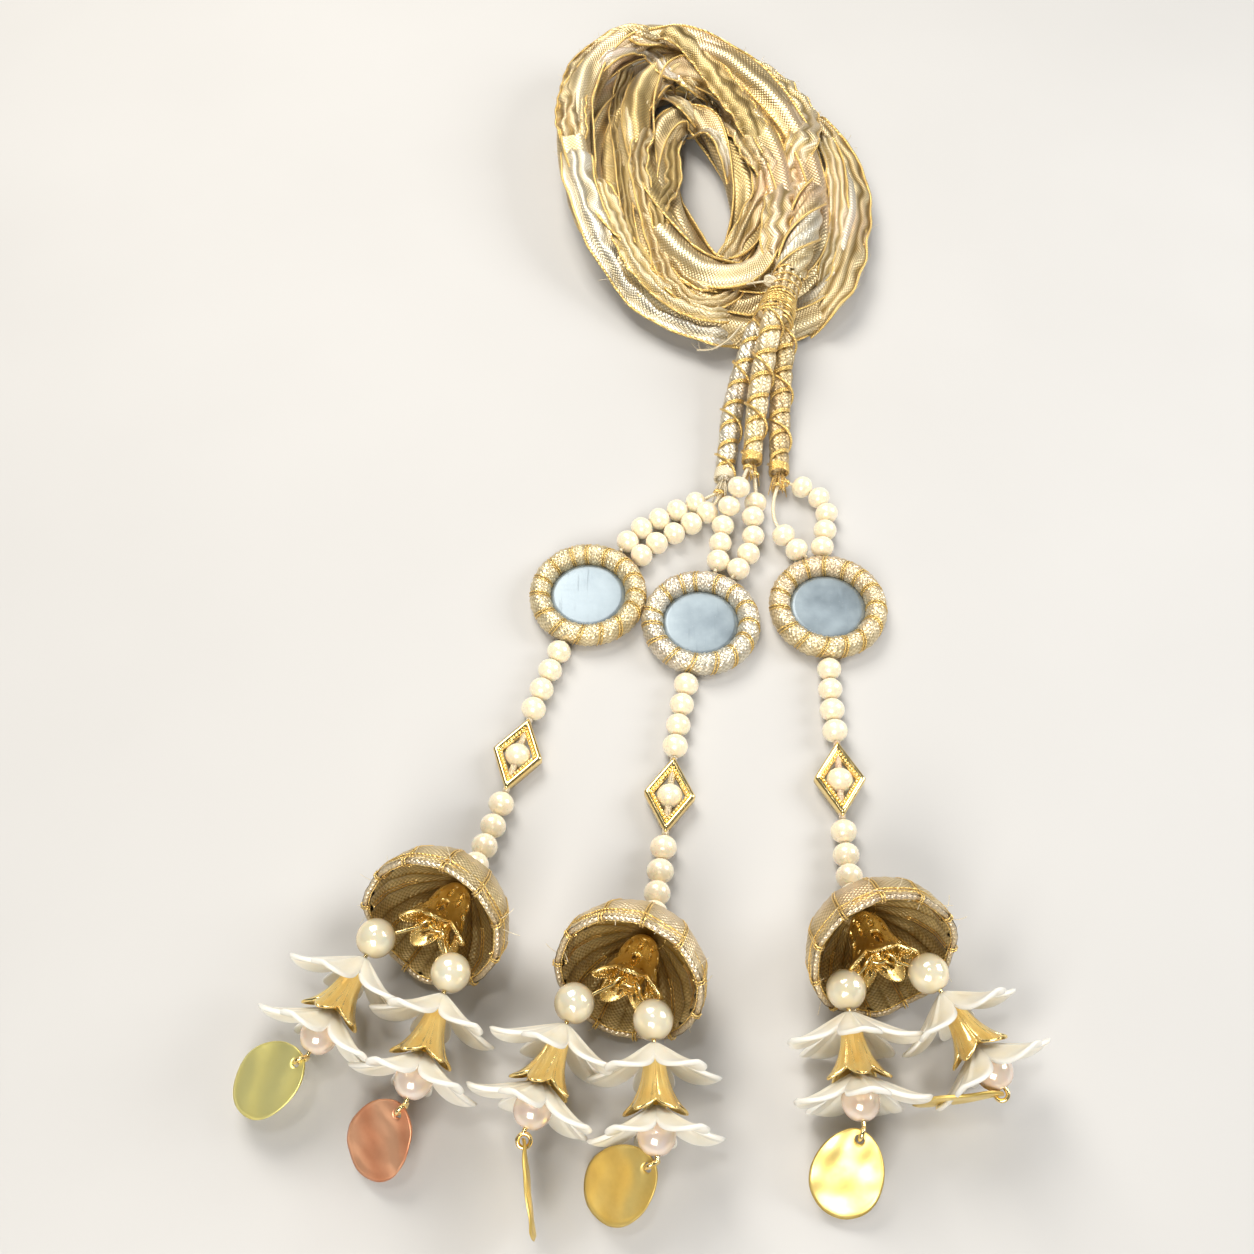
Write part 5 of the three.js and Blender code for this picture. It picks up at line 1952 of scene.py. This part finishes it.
@dataclass
class DiamondFrames:
    """The gold diamonds: a plain bevelled bar with a beaded inner border."""

    section: tuple = (
        (0.0, -1.0), (0.0, 0.85), (0.3, 1.25), (0.85, 1.4), (1.1, 1.15), (1.3, 0.95),
        (1.9, 0.9), (1.9, -0.9), (1.3, -0.95), (1.0, -1.3), (0.3, -1.3),
    )
    steps: int = 30

    def outline(self, place: Stand, inward: float, up: float) -> np.ndarray:
        """The diamond's outline at a distance inwards, with its corners a little rounded."""
        half_x, half_y = DIAMOND_WIDTH / 2, DIAMOND_LENGTH / 2
        inner = half_x * half_y / math.hypot(half_x, half_y)
        scale = 1 - inward / inner
        corners = np.array([[half_x, 0], [0, half_y], [-half_x, 0], [0, -half_y]]) * scale
        share = np.linspace(0, 1, self.steps, endpoint=False)[:, None]
        runs = [corners[i] * (1 - share) + corners[(i + 1) % 4] * share for i in range(4)]
        flat = np.concatenate(runs)
        soft = (np.roll(flat, 1, axis=0) + flat + np.roll(flat, -1, axis=0)) / 3
        side = soft[:, :1] * place.across
        return place.point + side + soft[:, 1:] * place.axis + up * place.upright

    def build(self) -> None:
        """Builds each frame with its beads."""
        for side in CHAINS:
            place = WALKS[side.name].diamond
            rings = np.stack([self.outline(place, d, z) for d, z in self.section], axis=1)
            name, node = "diamond_" + side.name, "diamond_frame_" + side.name
            shell(name, Finish.GOLD, "gold_metal", rings, node, along=True)
            borders = [self.outline(place, 1.5, 1.08), self.outline(place, 1.5, -1.05)]
            beads(name + "_beading", borders, 0.42, 0.86, Finish.GOLD, closed=True)


@dataclass
class RibbonBells:
    """The bells: eleven gathered ribbon panels outside, a pleated lining and a bright rim."""

    rows: int = 44
    columns: int = 264
    cut: tuple[float, float] = (0.088, 0.021)
    roll_inset: float = 0.65
    looks: tuple = (Finish.CHAMPAGNE, Finish.PALE_GOLD, Finish.CHAMPAGNE)

    def panel(self, around: np.ndarray) -> tuple[np.ndarray, np.ndarray]:
        """How far into its panel each angle lies, from 0 to 1, and the panel's number."""
        place = around * BELL_PANELS / TURN
        return place - np.floor(place), np.floor(place).astype(int) % BELL_PANELS

    def surface(self, seed: int, share: np.ndarray, around: np.ndarray, inside: bool) -> tuple:
        """A skin of the bell.

        Args:
            seed: chooses its creases.
            share: places down the bell, from 0 at its top to 1 at its rim.
            around: angles round it.
            inside: whether it is the lining.

        Returns:
            Distances from the axis, places along it and the painted shade of the creases.
        """
        within, number = self.panel(around)
        chance = np.random.default_rng(seed)
        lean = chance.uniform(-0.6, 0.6, BELL_PANELS)[number]
        puff = np.sin(math.pi * within) ** 0.5
        ribs = np.sin(TURN * within * 3 + lean * 2 + share * lean * 3)
        ribs = ribs * np.sin(math.pi * within)
        radius = bell_radius(share)
        loose = whole_ripple(seed + 2, around + share * 1.5, 9) * share
        if inside:
            pleat = np.abs(np.sin(math.pi * (within * 2 + 0.25 * lean))) ** 0.8
            fold = 1.3 * (1 - pleat) * (0.35 + 0.65 * share) * (1.1 - share * 0.4)
            out = np.maximum(radius - (BELL_WALL + 0.35 + fold) + 0.12 * ribs, 0.05)
            # Painted shade: the lining darkens deep inside the bell and in its pleats.
            crease = np.clip(1.05 * (1 - share) ** 1.5 + 0.9 * (1 - pleat) ** 3, 0, 1)
        else:
            flat_face = 1 / np.cos(math.pi / BELL_PANELS) - 1
            out = radius * (1 - flat_face * (1 - 4 * (within - 0.5) ** 2) * 0.8)
            out = out - 0.5 * (1 - puff) * (0.4 + 0.6 * share) + 0.06 * ribs + 0.2 * loose
            # Painted shade: the outside darkens in the seams between panels and towards the top.
            crease = np.clip((1 - puff) * 0.9 + 0.25 * (1 - share), 0, 1)
        rim = 0.35 * loose * share**4 + 0.3 * (puff - 0.5) * share**6
        along = BELL_DEPTH * share + rim - (0.25 if inside else 0.0)
        return out, along, crease

    def build(self) -> None:
        """Builds each bell."""
        for number, (side, finish) in enumerate(zip(CHAINS, self.looks)):
            self.bell(side, finish, 10 * number)

    def bell(self, side: Side, finish: Finish, seed: int) -> None:
        """Builds one bell's skins, rim, cords and fuzz."""
        name, place = "bell_" + side.name, WALKS[side.name].bell
        around = turn_steps(self.columns)[None, :]
        share = np.linspace(0.0, 1, self.rows)[:, None]
        whole = np.linspace(0, TURN * BELL_RADIUS, self.columns + 1)
        flat = flat_grid(whole, share[:, 0] * 21)
        out, along, crease = self.surface(seed, share, around, False)
        made = shell(
            name + "_outside", finish, "gold_ribbon", place.put(out, around, along),
            "ribbon_" + name, flat=flat, mask=crease, closed=False,
        )
        inner_share = np.linspace(0.06, 0.99, self.rows)[:, None]
        out, along, crease = self.surface(seed, inner_share, around, True)
        out = out * np.minimum(1, (inner_share - 0.06) / 0.03) ** 0.5
        made = shell(
            name + "_lining", Finish.BELL_INSIDE, "gold_ribbon", place.put(out, around, along),
            flat=flat, mask=crease, closed=False,
        )
        name + "_outside"
        self.rim(name, place, seed)
        self.crown(name, place)

    def rim(self, name: str, place: Stand, seed: int) -> None:
        """Builds the bright rolled rim and the gold cords over it and down the seams."""
        around = turn_steps(self.columns)[:, None]
        lean = turn_steps(14)[None, :]
        one = np.ones_like(around)
        out, along, _ = self.surface(seed, one, around, False)
        within, _ = self.panel(around)
        thick = 0.48 * (0.7 + 0.35 * np.sin(math.pi * within) ** 0.6)
        roll_out = out - self.roll_inset + thick * np.cos(lean) * 1.15
        points = place.put(roll_out, around, along - 0.1 + thick * np.sin(lean))
        flat = flat_grid(np.linspace(0, 5, 15), np.linspace(0, 98, self.columns + 1))
        # Painted shade: the rim darkens by how thin its roll is, most in the pinches at the seams.
        look = {"flat": flat, "along": True, "mask": np.clip(1 - thick, 0, 1) + 0 * lean}
        made = shell(name + "_rim", Finish.BRIGHT_FOLD, "gold_ribbon", points, **look)
        cords = []
        for panel in range(BELL_PANELS):
            for shift in (-0.035, 0.035):
                angle = (panel + shift) * TURN / BELL_PANELS
                down = np.linspace(0.1, 0.97, 22)
                line = self.surface(seed, down, angle + 0 * down, False)
                cords.append(place.put(line[0] + 0.05, angle, line[1]))
                over = np.linspace(-0.4, 3.6, 9)
                top = self.surface(seed, np.ones(1), np.array([angle]), False)
                out_over = top[0] - self.roll_inset + np.cos(over)
                cords.append(place.put(out_over, angle, top[1] + 0.85 * np.sin(over)))
                down = np.linspace(0.97, 0.3, 16)
                line = self.surface(seed, down, angle + 0 * down, True)
                cords.append(place.put(line[0] - 0.1, angle, line[1]))
        threads(name + "_seam_cords", cords, 0.17, step=0.9, sides=5)
        edge = place.put(out[:, 0] - 0.15, around[:, 0], along[:, 0] - 1.15)
        second = place.put(out[:, 0] - 0.05, around[:, 0], along[:, 0] - 2.1)
        hem = place.put(out[:, 0] - 1.35, around[:, 0], along[:, 0] - 0.2)
        look = {"step": 0.9, "closed": True}
        threads(name + "_rim_cords", [edge, second], 0.19, **look)
        threads(name + "_hem_cord", [hem], 0.16, **look)
        fibres(name + "_fuzz", [edge[::3]], 2.2, 3.4, Finish.PALE_THREAD, seed + 3)

    def crown(self, name: str, place: Stand) -> None:
        """Winds the gathered top of the bell with thread."""
        turn = np.linspace(0, TURN * 5, 120)
        at = np.linspace(-0.35, 0.8, 120)
        wide = np.interp(at, (-0.35, 0.0, 0.8), (1.3, 2.6, 3.9))
        threads(name + "_crown", [place.put(wide, turn, at)], 0.34, step=0.7)


def thicken(piece: bpy.types.Object, thickness: float) -> None:
    """Gives an open skin a thickness inwards and keeps the result."""
    work = bmesh.new()
    work.from_mesh(piece.data)
    bmesh.ops.recalc_face_normals(work, faces=work.faces)
    work.to_mesh(piece.data)
    work.free()
    modifier = piece.modifiers.new("wall", "SOLIDIFY")
    modifier.thickness = thickness * MM
    modifier.offset = -1.0
    graph = bpy.context.evaluated_depsgraph_get()
    mesh = bpy.data.meshes.new_from_object(piece.evaluated_get(graph))
    mesh.name = piece.name
    piece.modifiers.clear()
    piece.data = mesh


@dataclass
class PiercedCaps:
    """The pierced gold tulips inside the bells, with granules, hoops and the wire ring.

    A row of piercing has its share of the cap's length, its copies, its shift in copies, and its
    holes' length and width. Courses, hems and hoops are rows of granules or wire at such shares.
    """

    wall: float = 0.7
    notch: float = 2.9
    outline: tuple = ((0, 0.02), (0.04, 0.26), (0.25, 0.5), (0.5, 0.56), (0.8, 0.76), (1, 1.0))
    piercing: tuple = (
        (0.66, 5, 0.0, 4.2, 1.9),
        (0.56, 5, 0.5, 2.6, 1.0),
        (0.36, 10, 0.0, 1.9, 1.0),
        (0.22, 7, 0.0, 1.3, 0.9),
        (0.86, 10, 0.5, 1.1, 0.9),
    )
    courses: tuple = (0.12, 0.2, 0.29, 0.4)
    hems: tuple = ((0.985, 0.1), (0.9, 0.15))
    hoops: tuple = (0.45, 0.165)

    def radius_at(self, share: np.ndarray) -> np.ndarray:
        """Radius at shares of the cap's length, rounded between the outline's corners."""
        fine = np.linspace(0, 1, 61)
        corners = np.array(self.outline)
        sharp = np.interp(fine, corners[:, 0], corners[:, 1])
        soft = np.convolve(np.pad(sharp, 3, mode="edge"), np.ones(7) / 7, mode="valid")
        soft[:2] = sharp[:2]
        return np.interp(share, fine, soft) * CAP_RADIUS

    def place_on(
        self, place: Stand, share: np.ndarray, around: np.ndarray, off: float
    ) -> np.ndarray:
        """Points on the cap, with the notches between its petals drawn back."""
        beside = beside_petal(around)
        reach = CAP_LENGTH - self.notch * beside**1.6
        at = share * reach
        belly = 0.35 * np.cos(around * PETALS) * share**2
        curl = 0.7 * np.clip(share - 0.85, 0, 1) / 0.15 * (1 - beside)
        return place.put(self.radius_at(at / CAP_LENGTH) + belly + curl + off, around, at)

    def build(self) -> None:
        """Builds each cap."""
        for side in CHAINS:
            self.cap(side, WALKS[side.name].cap)

    def cap(self, side: Side, place: Stand) -> None:
        """Builds one cap's shell, granules, hoops and ring."""
        around = turn_steps(200)[None, :]
        share = np.linspace(0, 1, 66)[:, None]
        points = self.place_on(place, share, around, 0.0)
        hole = np.zeros(points.shape[:2], bool)
        for at, copies, shift, long, wide in self.piercing:
            place_round = around * copies / TURN + shift
            off = (place_round - np.round(place_round)) / copies * TURN
            side_way = off * self.radius_at(share)
            down = (share - at) * CAP_LENGTH
            width = wide / 2 * (1 - 0.45 * down / long)
            hole |= (side_way / width) ** 2 + (down / (long / 2)) ** 2 < 1
        name = "cap_" + side.name
        skin = Skin()
        skin.grid(points, around=True)
        cells = hole[:-1] | hole[1:]
        keep = ~(cells & np.roll(cells, -1, axis=1)).reshape(-1)
        skin.faces[0] = skin.faces[0][keep]
        skin.corners[0] = skin.corners[0].reshape(-1, 4, 2)[keep].reshape(-1, 2)
        made = skin.build(name, material(Finish.FILIGREE), closed=False)
        thicken(made, self.wall)
        settle(made, "gold_metal", "pierced_cap_" + side.name)
        self.grains(name, place)
        self.ring(name, place)

    def grains(self, name: str, place: Stand) -> None:
        """Sets granules round the slots, along the petals' edges and in courses round the dome."""
        lines = []
        slot_at, _, _, slot_length, slot_width = self.piercing[0]
        lean = np.linspace(0, TURN, 40)
        for i in range(PETALS):
            middle = i * TURN / PETALS
            down = np.cos(lean) * (slot_length / 2 + 0.45)
            wide = np.sin(lean) * (slot_width / 2 + 0.42) * (1 - 0.3 * down / slot_length)
            share = slot_at + down / CAP_LENGTH
            turn = middle + wide / self.radius_at(share)
            lines.append(self.place_on(place, share, turn, 0.12))
            step = np.linspace(-0.5, 0.5, 60) * TURN / PETALS
            for share, off in self.hems:
                lines.append(self.place_on(place, share, middle + step, off))
        turn = np.linspace(0, TURN, 80)
        for share in self.courses:
            lines.append(self.place_on(place, share, turn, 0.1))
        beads(name + "_granules", lines, 0.27, 0.66, Finish.GOLD)
        hoops = [self.place_on(place, share, turn, 0.12) for share in self.hoops]
        threads(name + "_hoops", hoops, 0.24, Finish.GOLD, step=0.6, closed=True)

    def ring(self, name: str, place: Stand) -> None:
        """Builds the stalk and the wire ring that carries the drops."""
        middle = place.point + place.axis * CAP_RING_AT
        ring = circle(middle, CAP_RING, place.axis, place.across, 36)
        look = {"sides": 9, "uneven": 0.02}
        threads(name + "_ring", [ring], WIRE, Finish.GOLD, step=0.5, closed=True, **look)
        stalk = np.array([place.point + place.axis * 0.5, middle - place.axis * CAP_RING])
        threads(name + "_stalk", [stalk], WIRE, Finish.GOLD, step=0.8, **look)


@dataclass(frozen=True)
class Drop:
    """Where one drop hangs and how it and its paillette point."""

    side: str
    number: int
    across: float
    ahead: float
    heading: float
    spin: float
    tag: float
    fall: float
    roll: float
    leaf: Finish

    def lies_at(self) -> float:
        """Height of the drop on the tips of its lowest petals."""
        tips = [
            -FLOWER_RADIUS * math.cos(math.radians(72 * k + self.spin + corner))
            for k in range(PETALS)
            for corner in (-PETAL_TIP, PETAL_TIP)
        ]
        return max(tips)


@dataclass
class FlowerDrops:
    """The drops: pin, pearls, two frosted flowers round a gold trumpet, and a paillette."""

    drops: tuple = (
        Drop("left", 1, -9.8, 6.4, 25, 12, 68, 27, 0, Finish.LEAF_PALE),
        Drop("left", 2, 7.4, 6.8, 15, 24, 45, 40, 0, Finish.LEAF_COPPER),
        Drop("middle", 1, -8.6, 7.2, 20.5, 12, -8, 16, 88, Finish.LEAF_GOLD),
        Drop("middle", 2, 7.0, 5.0, -1, 36, 66, 39, 0, Finish.LEAF_GOLD),
        Drop("right", 1, -8.6, 3.6, -2, 0, 22, 34, 0, Finish.LEAF_GOLD),
        Drop("right", 2, 8.0, 4.6, -28, 48, 86, 24, 86, Finish.LEAF_GOLD),
    )
    flare: tuple = (
        (0, 0), (0.25, 0.05), (0.45, 0.16), (0.62, 0.31), (0.78, 0.52), (0.9, 0.74), (1, 1),
    )

    def build(self) -> None:
        """Builds each drop."""
        for drop in self.drops:
            walk = WALKS[drop.side]
            mouth = walk.bell.point + walk.bell.axis * BELL_DEPTH
            level = -np.cross(walk.forward, UP)
            point = mouth + level * drop.across + walk.forward * drop.ahead
            point[2] = drop.lies_at()
            place = Stand(point, heading(drop.heading), drop.spin)
            name = f"{drop.side}_{drop.number}"
            self.pearls(name, place)
            self.flower("upper_flower_" + name, place, UPPER_FLOWER_AT, UPPER_CUP, drop.number)
            self.flower("lower_flower_" + name, place, LOWER_FLOWER_AT, LOWER_CUP, drop.number + 3)
            self.trumpet("trumpet_" + name, place)
            along, face = self.hang(drop)
            self.pin(name, place, walk.cap, along, face)
            hole = place.point + place.axis * WIRE_END + along * 2 * EYE
            self.leaf("paillette_" + name, hole, along, face, drop.leaf)

    def hang(self, drop: Drop) -> tuple[np.ndarray, np.ndarray]:
        """Directions along a paillette and square to its face."""
        fall, roll = math.radians(drop.fall), math.radians(drop.roll)
        along = heading(drop.tag) * math.cos(fall) - UP * math.sin(fall)
        level = unit(np.cross(along, UP))
        face = np.cross(level, along)
        turned = face * math.cos(roll) + np.cross(along, face) * math.sin(roll)
        return along, turned

    def pearls(self, name: str, place: Stand) -> None:
        """Builds the two large pearls of a drop."""
        sorts = (
            ("upper", 0.0, UPPER_PEARL, Finish.LARGE_PEARL),
            ("lower", LOWER_PEARL_AT, LOWER_PEARL, Finish.PINK_PEARL),
        )
        for label, at, radius, finish in sorts:
            middle = Stand(place.point + place.axis * at, place.axis)
            points, flat = ball(middle, radius, radius)
            piece, node = f"{label}_pearl_{name}", "drop_pin_" + name
            shell(piece, finish, "pearl", points, node, flat=flat)

    def flower(self, name: str, place: Stand, at: float, cup: float, seed: int) -> None:
        """Builds one frosted flower.

        Args:
            name: the piece's and the node's name.
            place: the drop's stand.
            at: the flower's middle along the drop.
            cup: how deep its rim lies beyond its middle.
            seed: chooses its unevenness.
        """
        around = turn_steps(240)[None, :]
        beside = beside_petal(around)
        edge = FLOWER_RADIUS * (0.36 + 0.64 * np.cos(math.pi / 2 * beside) ** 0.72)
        bore = WIRE + 0.3
        share = np.linspace(0, 1, 30)[:, None]
        radius = bore + (edge - bore) * share
        level = radius / FLOWER_RADIUS
        groove = -0.5 * np.exp(-((beside / 0.10) ** 2)) * np.sin(math.pi * share) ** 0.7
        curl = 1.2 * beside**2 * level + 0.4 * np.sin(math.pi * level) - 1.7 * level**7
        uneven = 0.3 * whole_ripple(seed, around + 0 * share, 3) * level**2
        height = cup * level**1.05 + groove + curl + uneven
        half = 0.62 - 0.16 * share
        rounded = half * np.clip((1 - share) / 0.05, 0, 1) ** 0.5
        rows = there_and_back(height + rounded, height - rounded)
        out = there_and_back(radius)
        # Painted light: a mask that pales the petals towards their thin edges.
        light = there_and_back(share**6 + 0 * around)
        points = place.put(out, around, at + rows)
        look = {"along": True, "mask": np.clip(light, 0, 1)}
        shell(name, Finish.PETAL, "frosted_petal", points, name, **look)

    def trumpet(self, name: str, place: Stand) -> None:
        """Builds one gold trumpet with five curled points."""
        around = turn_steps(200)[None, :]
        beside = beside_petal(around)
        share = np.linspace(0, 1, 44)[:, None]
        reach = TRUMPET_LENGTH - 1.9 * beside**1.4
        at = share * reach
        level = at / TRUMPET_LENGTH
        flare = np.interp(level, *zip(*self.flare))
        radius = TRUMPET_TOP + flare * (TRUMPET_MOUTH - TRUMPET_TOP)
        crease = 0.16 * np.exp(-(((1 - beside) / 0.12) ** 2))
        facet = 0.32 * np.cos(around * PETALS) * level**2 - crease
        radius = radius + facet - 0.5 * beside**2 * level**6
        inner = np.maximum(radius - 0.55, 0.5)
        rim = np.linspace(0, math.pi, 7)[1:-1, None]
        last, last_in = radius[-1:], inner[-1:]
        lip = (last + last_in) / 2 + (last - last_in) / 2 * np.cos(rim) * 1.5
        lip_at = at[-1:] + 0.45 * np.sin(rim)
        outs = np.concatenate([0 * last, radius, lip, inner[::-1][:-6], 0 * last])
        ats = np.concatenate([at[:1], at, lip_at, at[::-1][:-6], at[6:7]])
        points = place.put(outs, around, TRUMPET_AT + ats)
        shell(name, Finish.GOLD, "gold_metal", points, name)

    def pin(self, name: str, place: Stand, cap: Stand, along: np.ndarray, face: np.ndarray) -> None:
        """Builds a drop's wire: the loop on the cap's ring, the link, the wire and the eye."""
        ring = cap.point + cap.axis * CAP_RING_AT
        away = place.point - ring
        away = unit(away - cap.upright * float(away @ cap.upright))
        shift = CAP_RING + PIN_LOOP - 2 * WIRE - LINK_GAP
        middle = ring + away * shift
        loop = circle(middle, PIN_LOOP, away, cap.upright, 30)
        eye = circle(place.point + place.axis * WIRE_END + along * EYE, EYE, along, face, 30)
        look = {"step": 0.4, "sides": 9, "uneven": 0.02, "closed": True}
        threads("pin_loops_" + name, [loop, eye], WIRE, Finish.GOLD, **look)
        link = np.array([middle + away * PIN_LOOP, place.point])
        wire = np.array([place.point, place.point + place.axis * WIRE_END])
        threads("pin_wire_" + name, [link, wire], WIRE, Finish.GOLD, step=0.8, sides=9, uneven=0.03)

    def leaf(
        self, name: str, hole: np.ndarray, along: np.ndarray, face: np.ndarray, finish: Finish
    ) -> None:
        """Builds one paillette: a thin rippled egg-shaped leaf with a hole."""
        near, far, wide, half = LEAF_NEAR, LEAF_FAR, LEAF_WIDEST, LEAF_HALF
        turn = turn_steps(120)
        stretch = np.where(np.cos(turn) > 0, far - wide, wide - near)
        plump = np.where(np.cos(turn) > 0, 1.0, 1.06)
        side = half * np.sign(np.sin(turn)) * np.abs(np.sin(turn)) ** plump
        down = wide + stretch * np.cos(turn)
        angle = np.unwrap(np.arctan2(side, down))
        share = np.linspace(0, 1, 20)[:, None]
        hole_side, hole_down = LEAF_HOLE * np.sin(angle), LEAF_HOLE * np.cos(angle)
        across = hole_side * (1 - share) + side * share
        ahead = hole_down * (1 - share) + down * share
        seed = len(name) + int(abs(hole[0]))
        bow = 0.35 * ((across / half) ** 2) + 0.16 * ripple(seed, across / 9, ahead / 9)
        half_thick = 0.25 * np.clip((1 - share) / 0.05, 0, 1) ** 0.5
        lip = 0.12 * np.exp(-(((1 - share) / 0.08) ** 2))
        level = np.cross(along, face)

        def skin_rows(height: np.ndarray) -> np.ndarray:
            """Points of one face of the leaf."""
            flat = across[..., None] * level + ahead[..., None] * along
            return hole + flat + height[..., None] * face

        top, under = skin_rows(bow + half_thick + lip), skin_rows(bow - half_thick - lip * 0.3)
        points = there_and_back(top, under)
        flat = there_and_back(np.stack([across, ahead], axis=2))
        flat = np.concatenate([flat, flat[:1]])
        flat = np.concatenate([flat, flat[:, :1]], axis=1)
        rim = there_and_back(share**14) * np.ones_like(turn)
        slot = "copper_metal" if finish is Finish.LEAF_COPPER else "gold_metal"
        shell(name, finish, slot, points, name, flat=flat, along=True, mask=rim)


@dataclass
class Studio:
    """The pale floor, the camera and the soft lights.

    The floor's half width is in metres and the film's width in millimetres. Each light has a name,
    a place, a width, a power and a colour.
    """

    floor: float = 1.6
    film: float = 36.0
    lights: tuple = (
        ("key", (-0.20, 0.40, 0.60), 0.42, 5.8, (1.0, 0.97, 0.92)),
        ("side", (0.54, 0.06, 0.36), 0.3, 2.6, (0.95, 0.97, 1.0)),
        ("front", (-0.12, -0.55, 0.42), 0.3, 3.2, (1.0, 0.98, 0.95)),
        ("glint", (-0.06, -0.04, 0.85), 0.08, 1.0, (1.0, 1.0, 1.0)),
    )
    sky: tuple = (0.78, 0.80, 0.84, 1)
    sky_strength: float = 0.17

    def build(self) -> None:
        """Builds the floor, the camera and the lights."""
        mesh = bpy.data.meshes.new("floor")
        size = self.floor
        corners = [(-size, -size, 0), (size, -size, 0), (size, size, 0), (-size, size, 0)]
        mesh.from_pydata(corners, [], [(0, 1, 2, 3)])
        mesh.materials.append(material(Finish.FLOOR))
        linked("floor", mesh)
        self.camera()
        for lamp in self.lights:
            self.light(*lamp)
        bpy.context.scene.view_settings.view_transform = "Standard"
        world = bpy.data.worlds.new("studio")
        bpy.context.scene.world = world
        world.use_nodes = True
        sky = world.node_tree.nodes["Background"].inputs
        sky["Color"].default_value = self.sky
        sky["Strength"].default_value = self.sky_strength

    def camera(self) -> None:
        """Sets the camera to the photograph's viewpoint."""
        data = bpy.data.cameras.new("camera")
        data.sensor_width = self.film
        data.lens = self.film * VIEW.focal / VIEW.size
        data.clip_start = 0.01
        camera = linked("camera", data)
        camera.location = scene_point(VIEW.eye())
        camera.rotation_euler = (math.radians(90 - VIEW.pitch), 0.0, 0.0)
        bpy.context.scene.camera = camera

    def light(self, name: str, spot: tuple, size: float, power: float, colour: Colour) -> None:
        """Sets a soft square light that faces the tassel's middle."""
        data = bpy.data.lights.new(name, "AREA")
        data.size = size
        data.energy = power
        data.color = colour
        lamp = linked(name, data)
        lamp.location = spot
        lamp.rotation_euler = (-Vector(spot)).to_track_quat("-Z", "Y").to_euler()


def main() -> None:
    """Builds every piece in order."""
    logging.basicConfig(level=logging.INFO, format="%(name)s %(message)s")
    Studio().build()
    threader = PearlThreader()
    assemblies = (
        RibbonHank(), BoundNeck(), WoundStems(), BeadLoops(threader), MirrorDiscs(),
        PearlStrands(threader), DiamondFrames(), RibbonBells(), PiercedCaps(), FlowerDrops(),
    )
    for assembly in assemblies:
        assembly.build()
    threader.close()


if __name__ == "__main__":
    main()
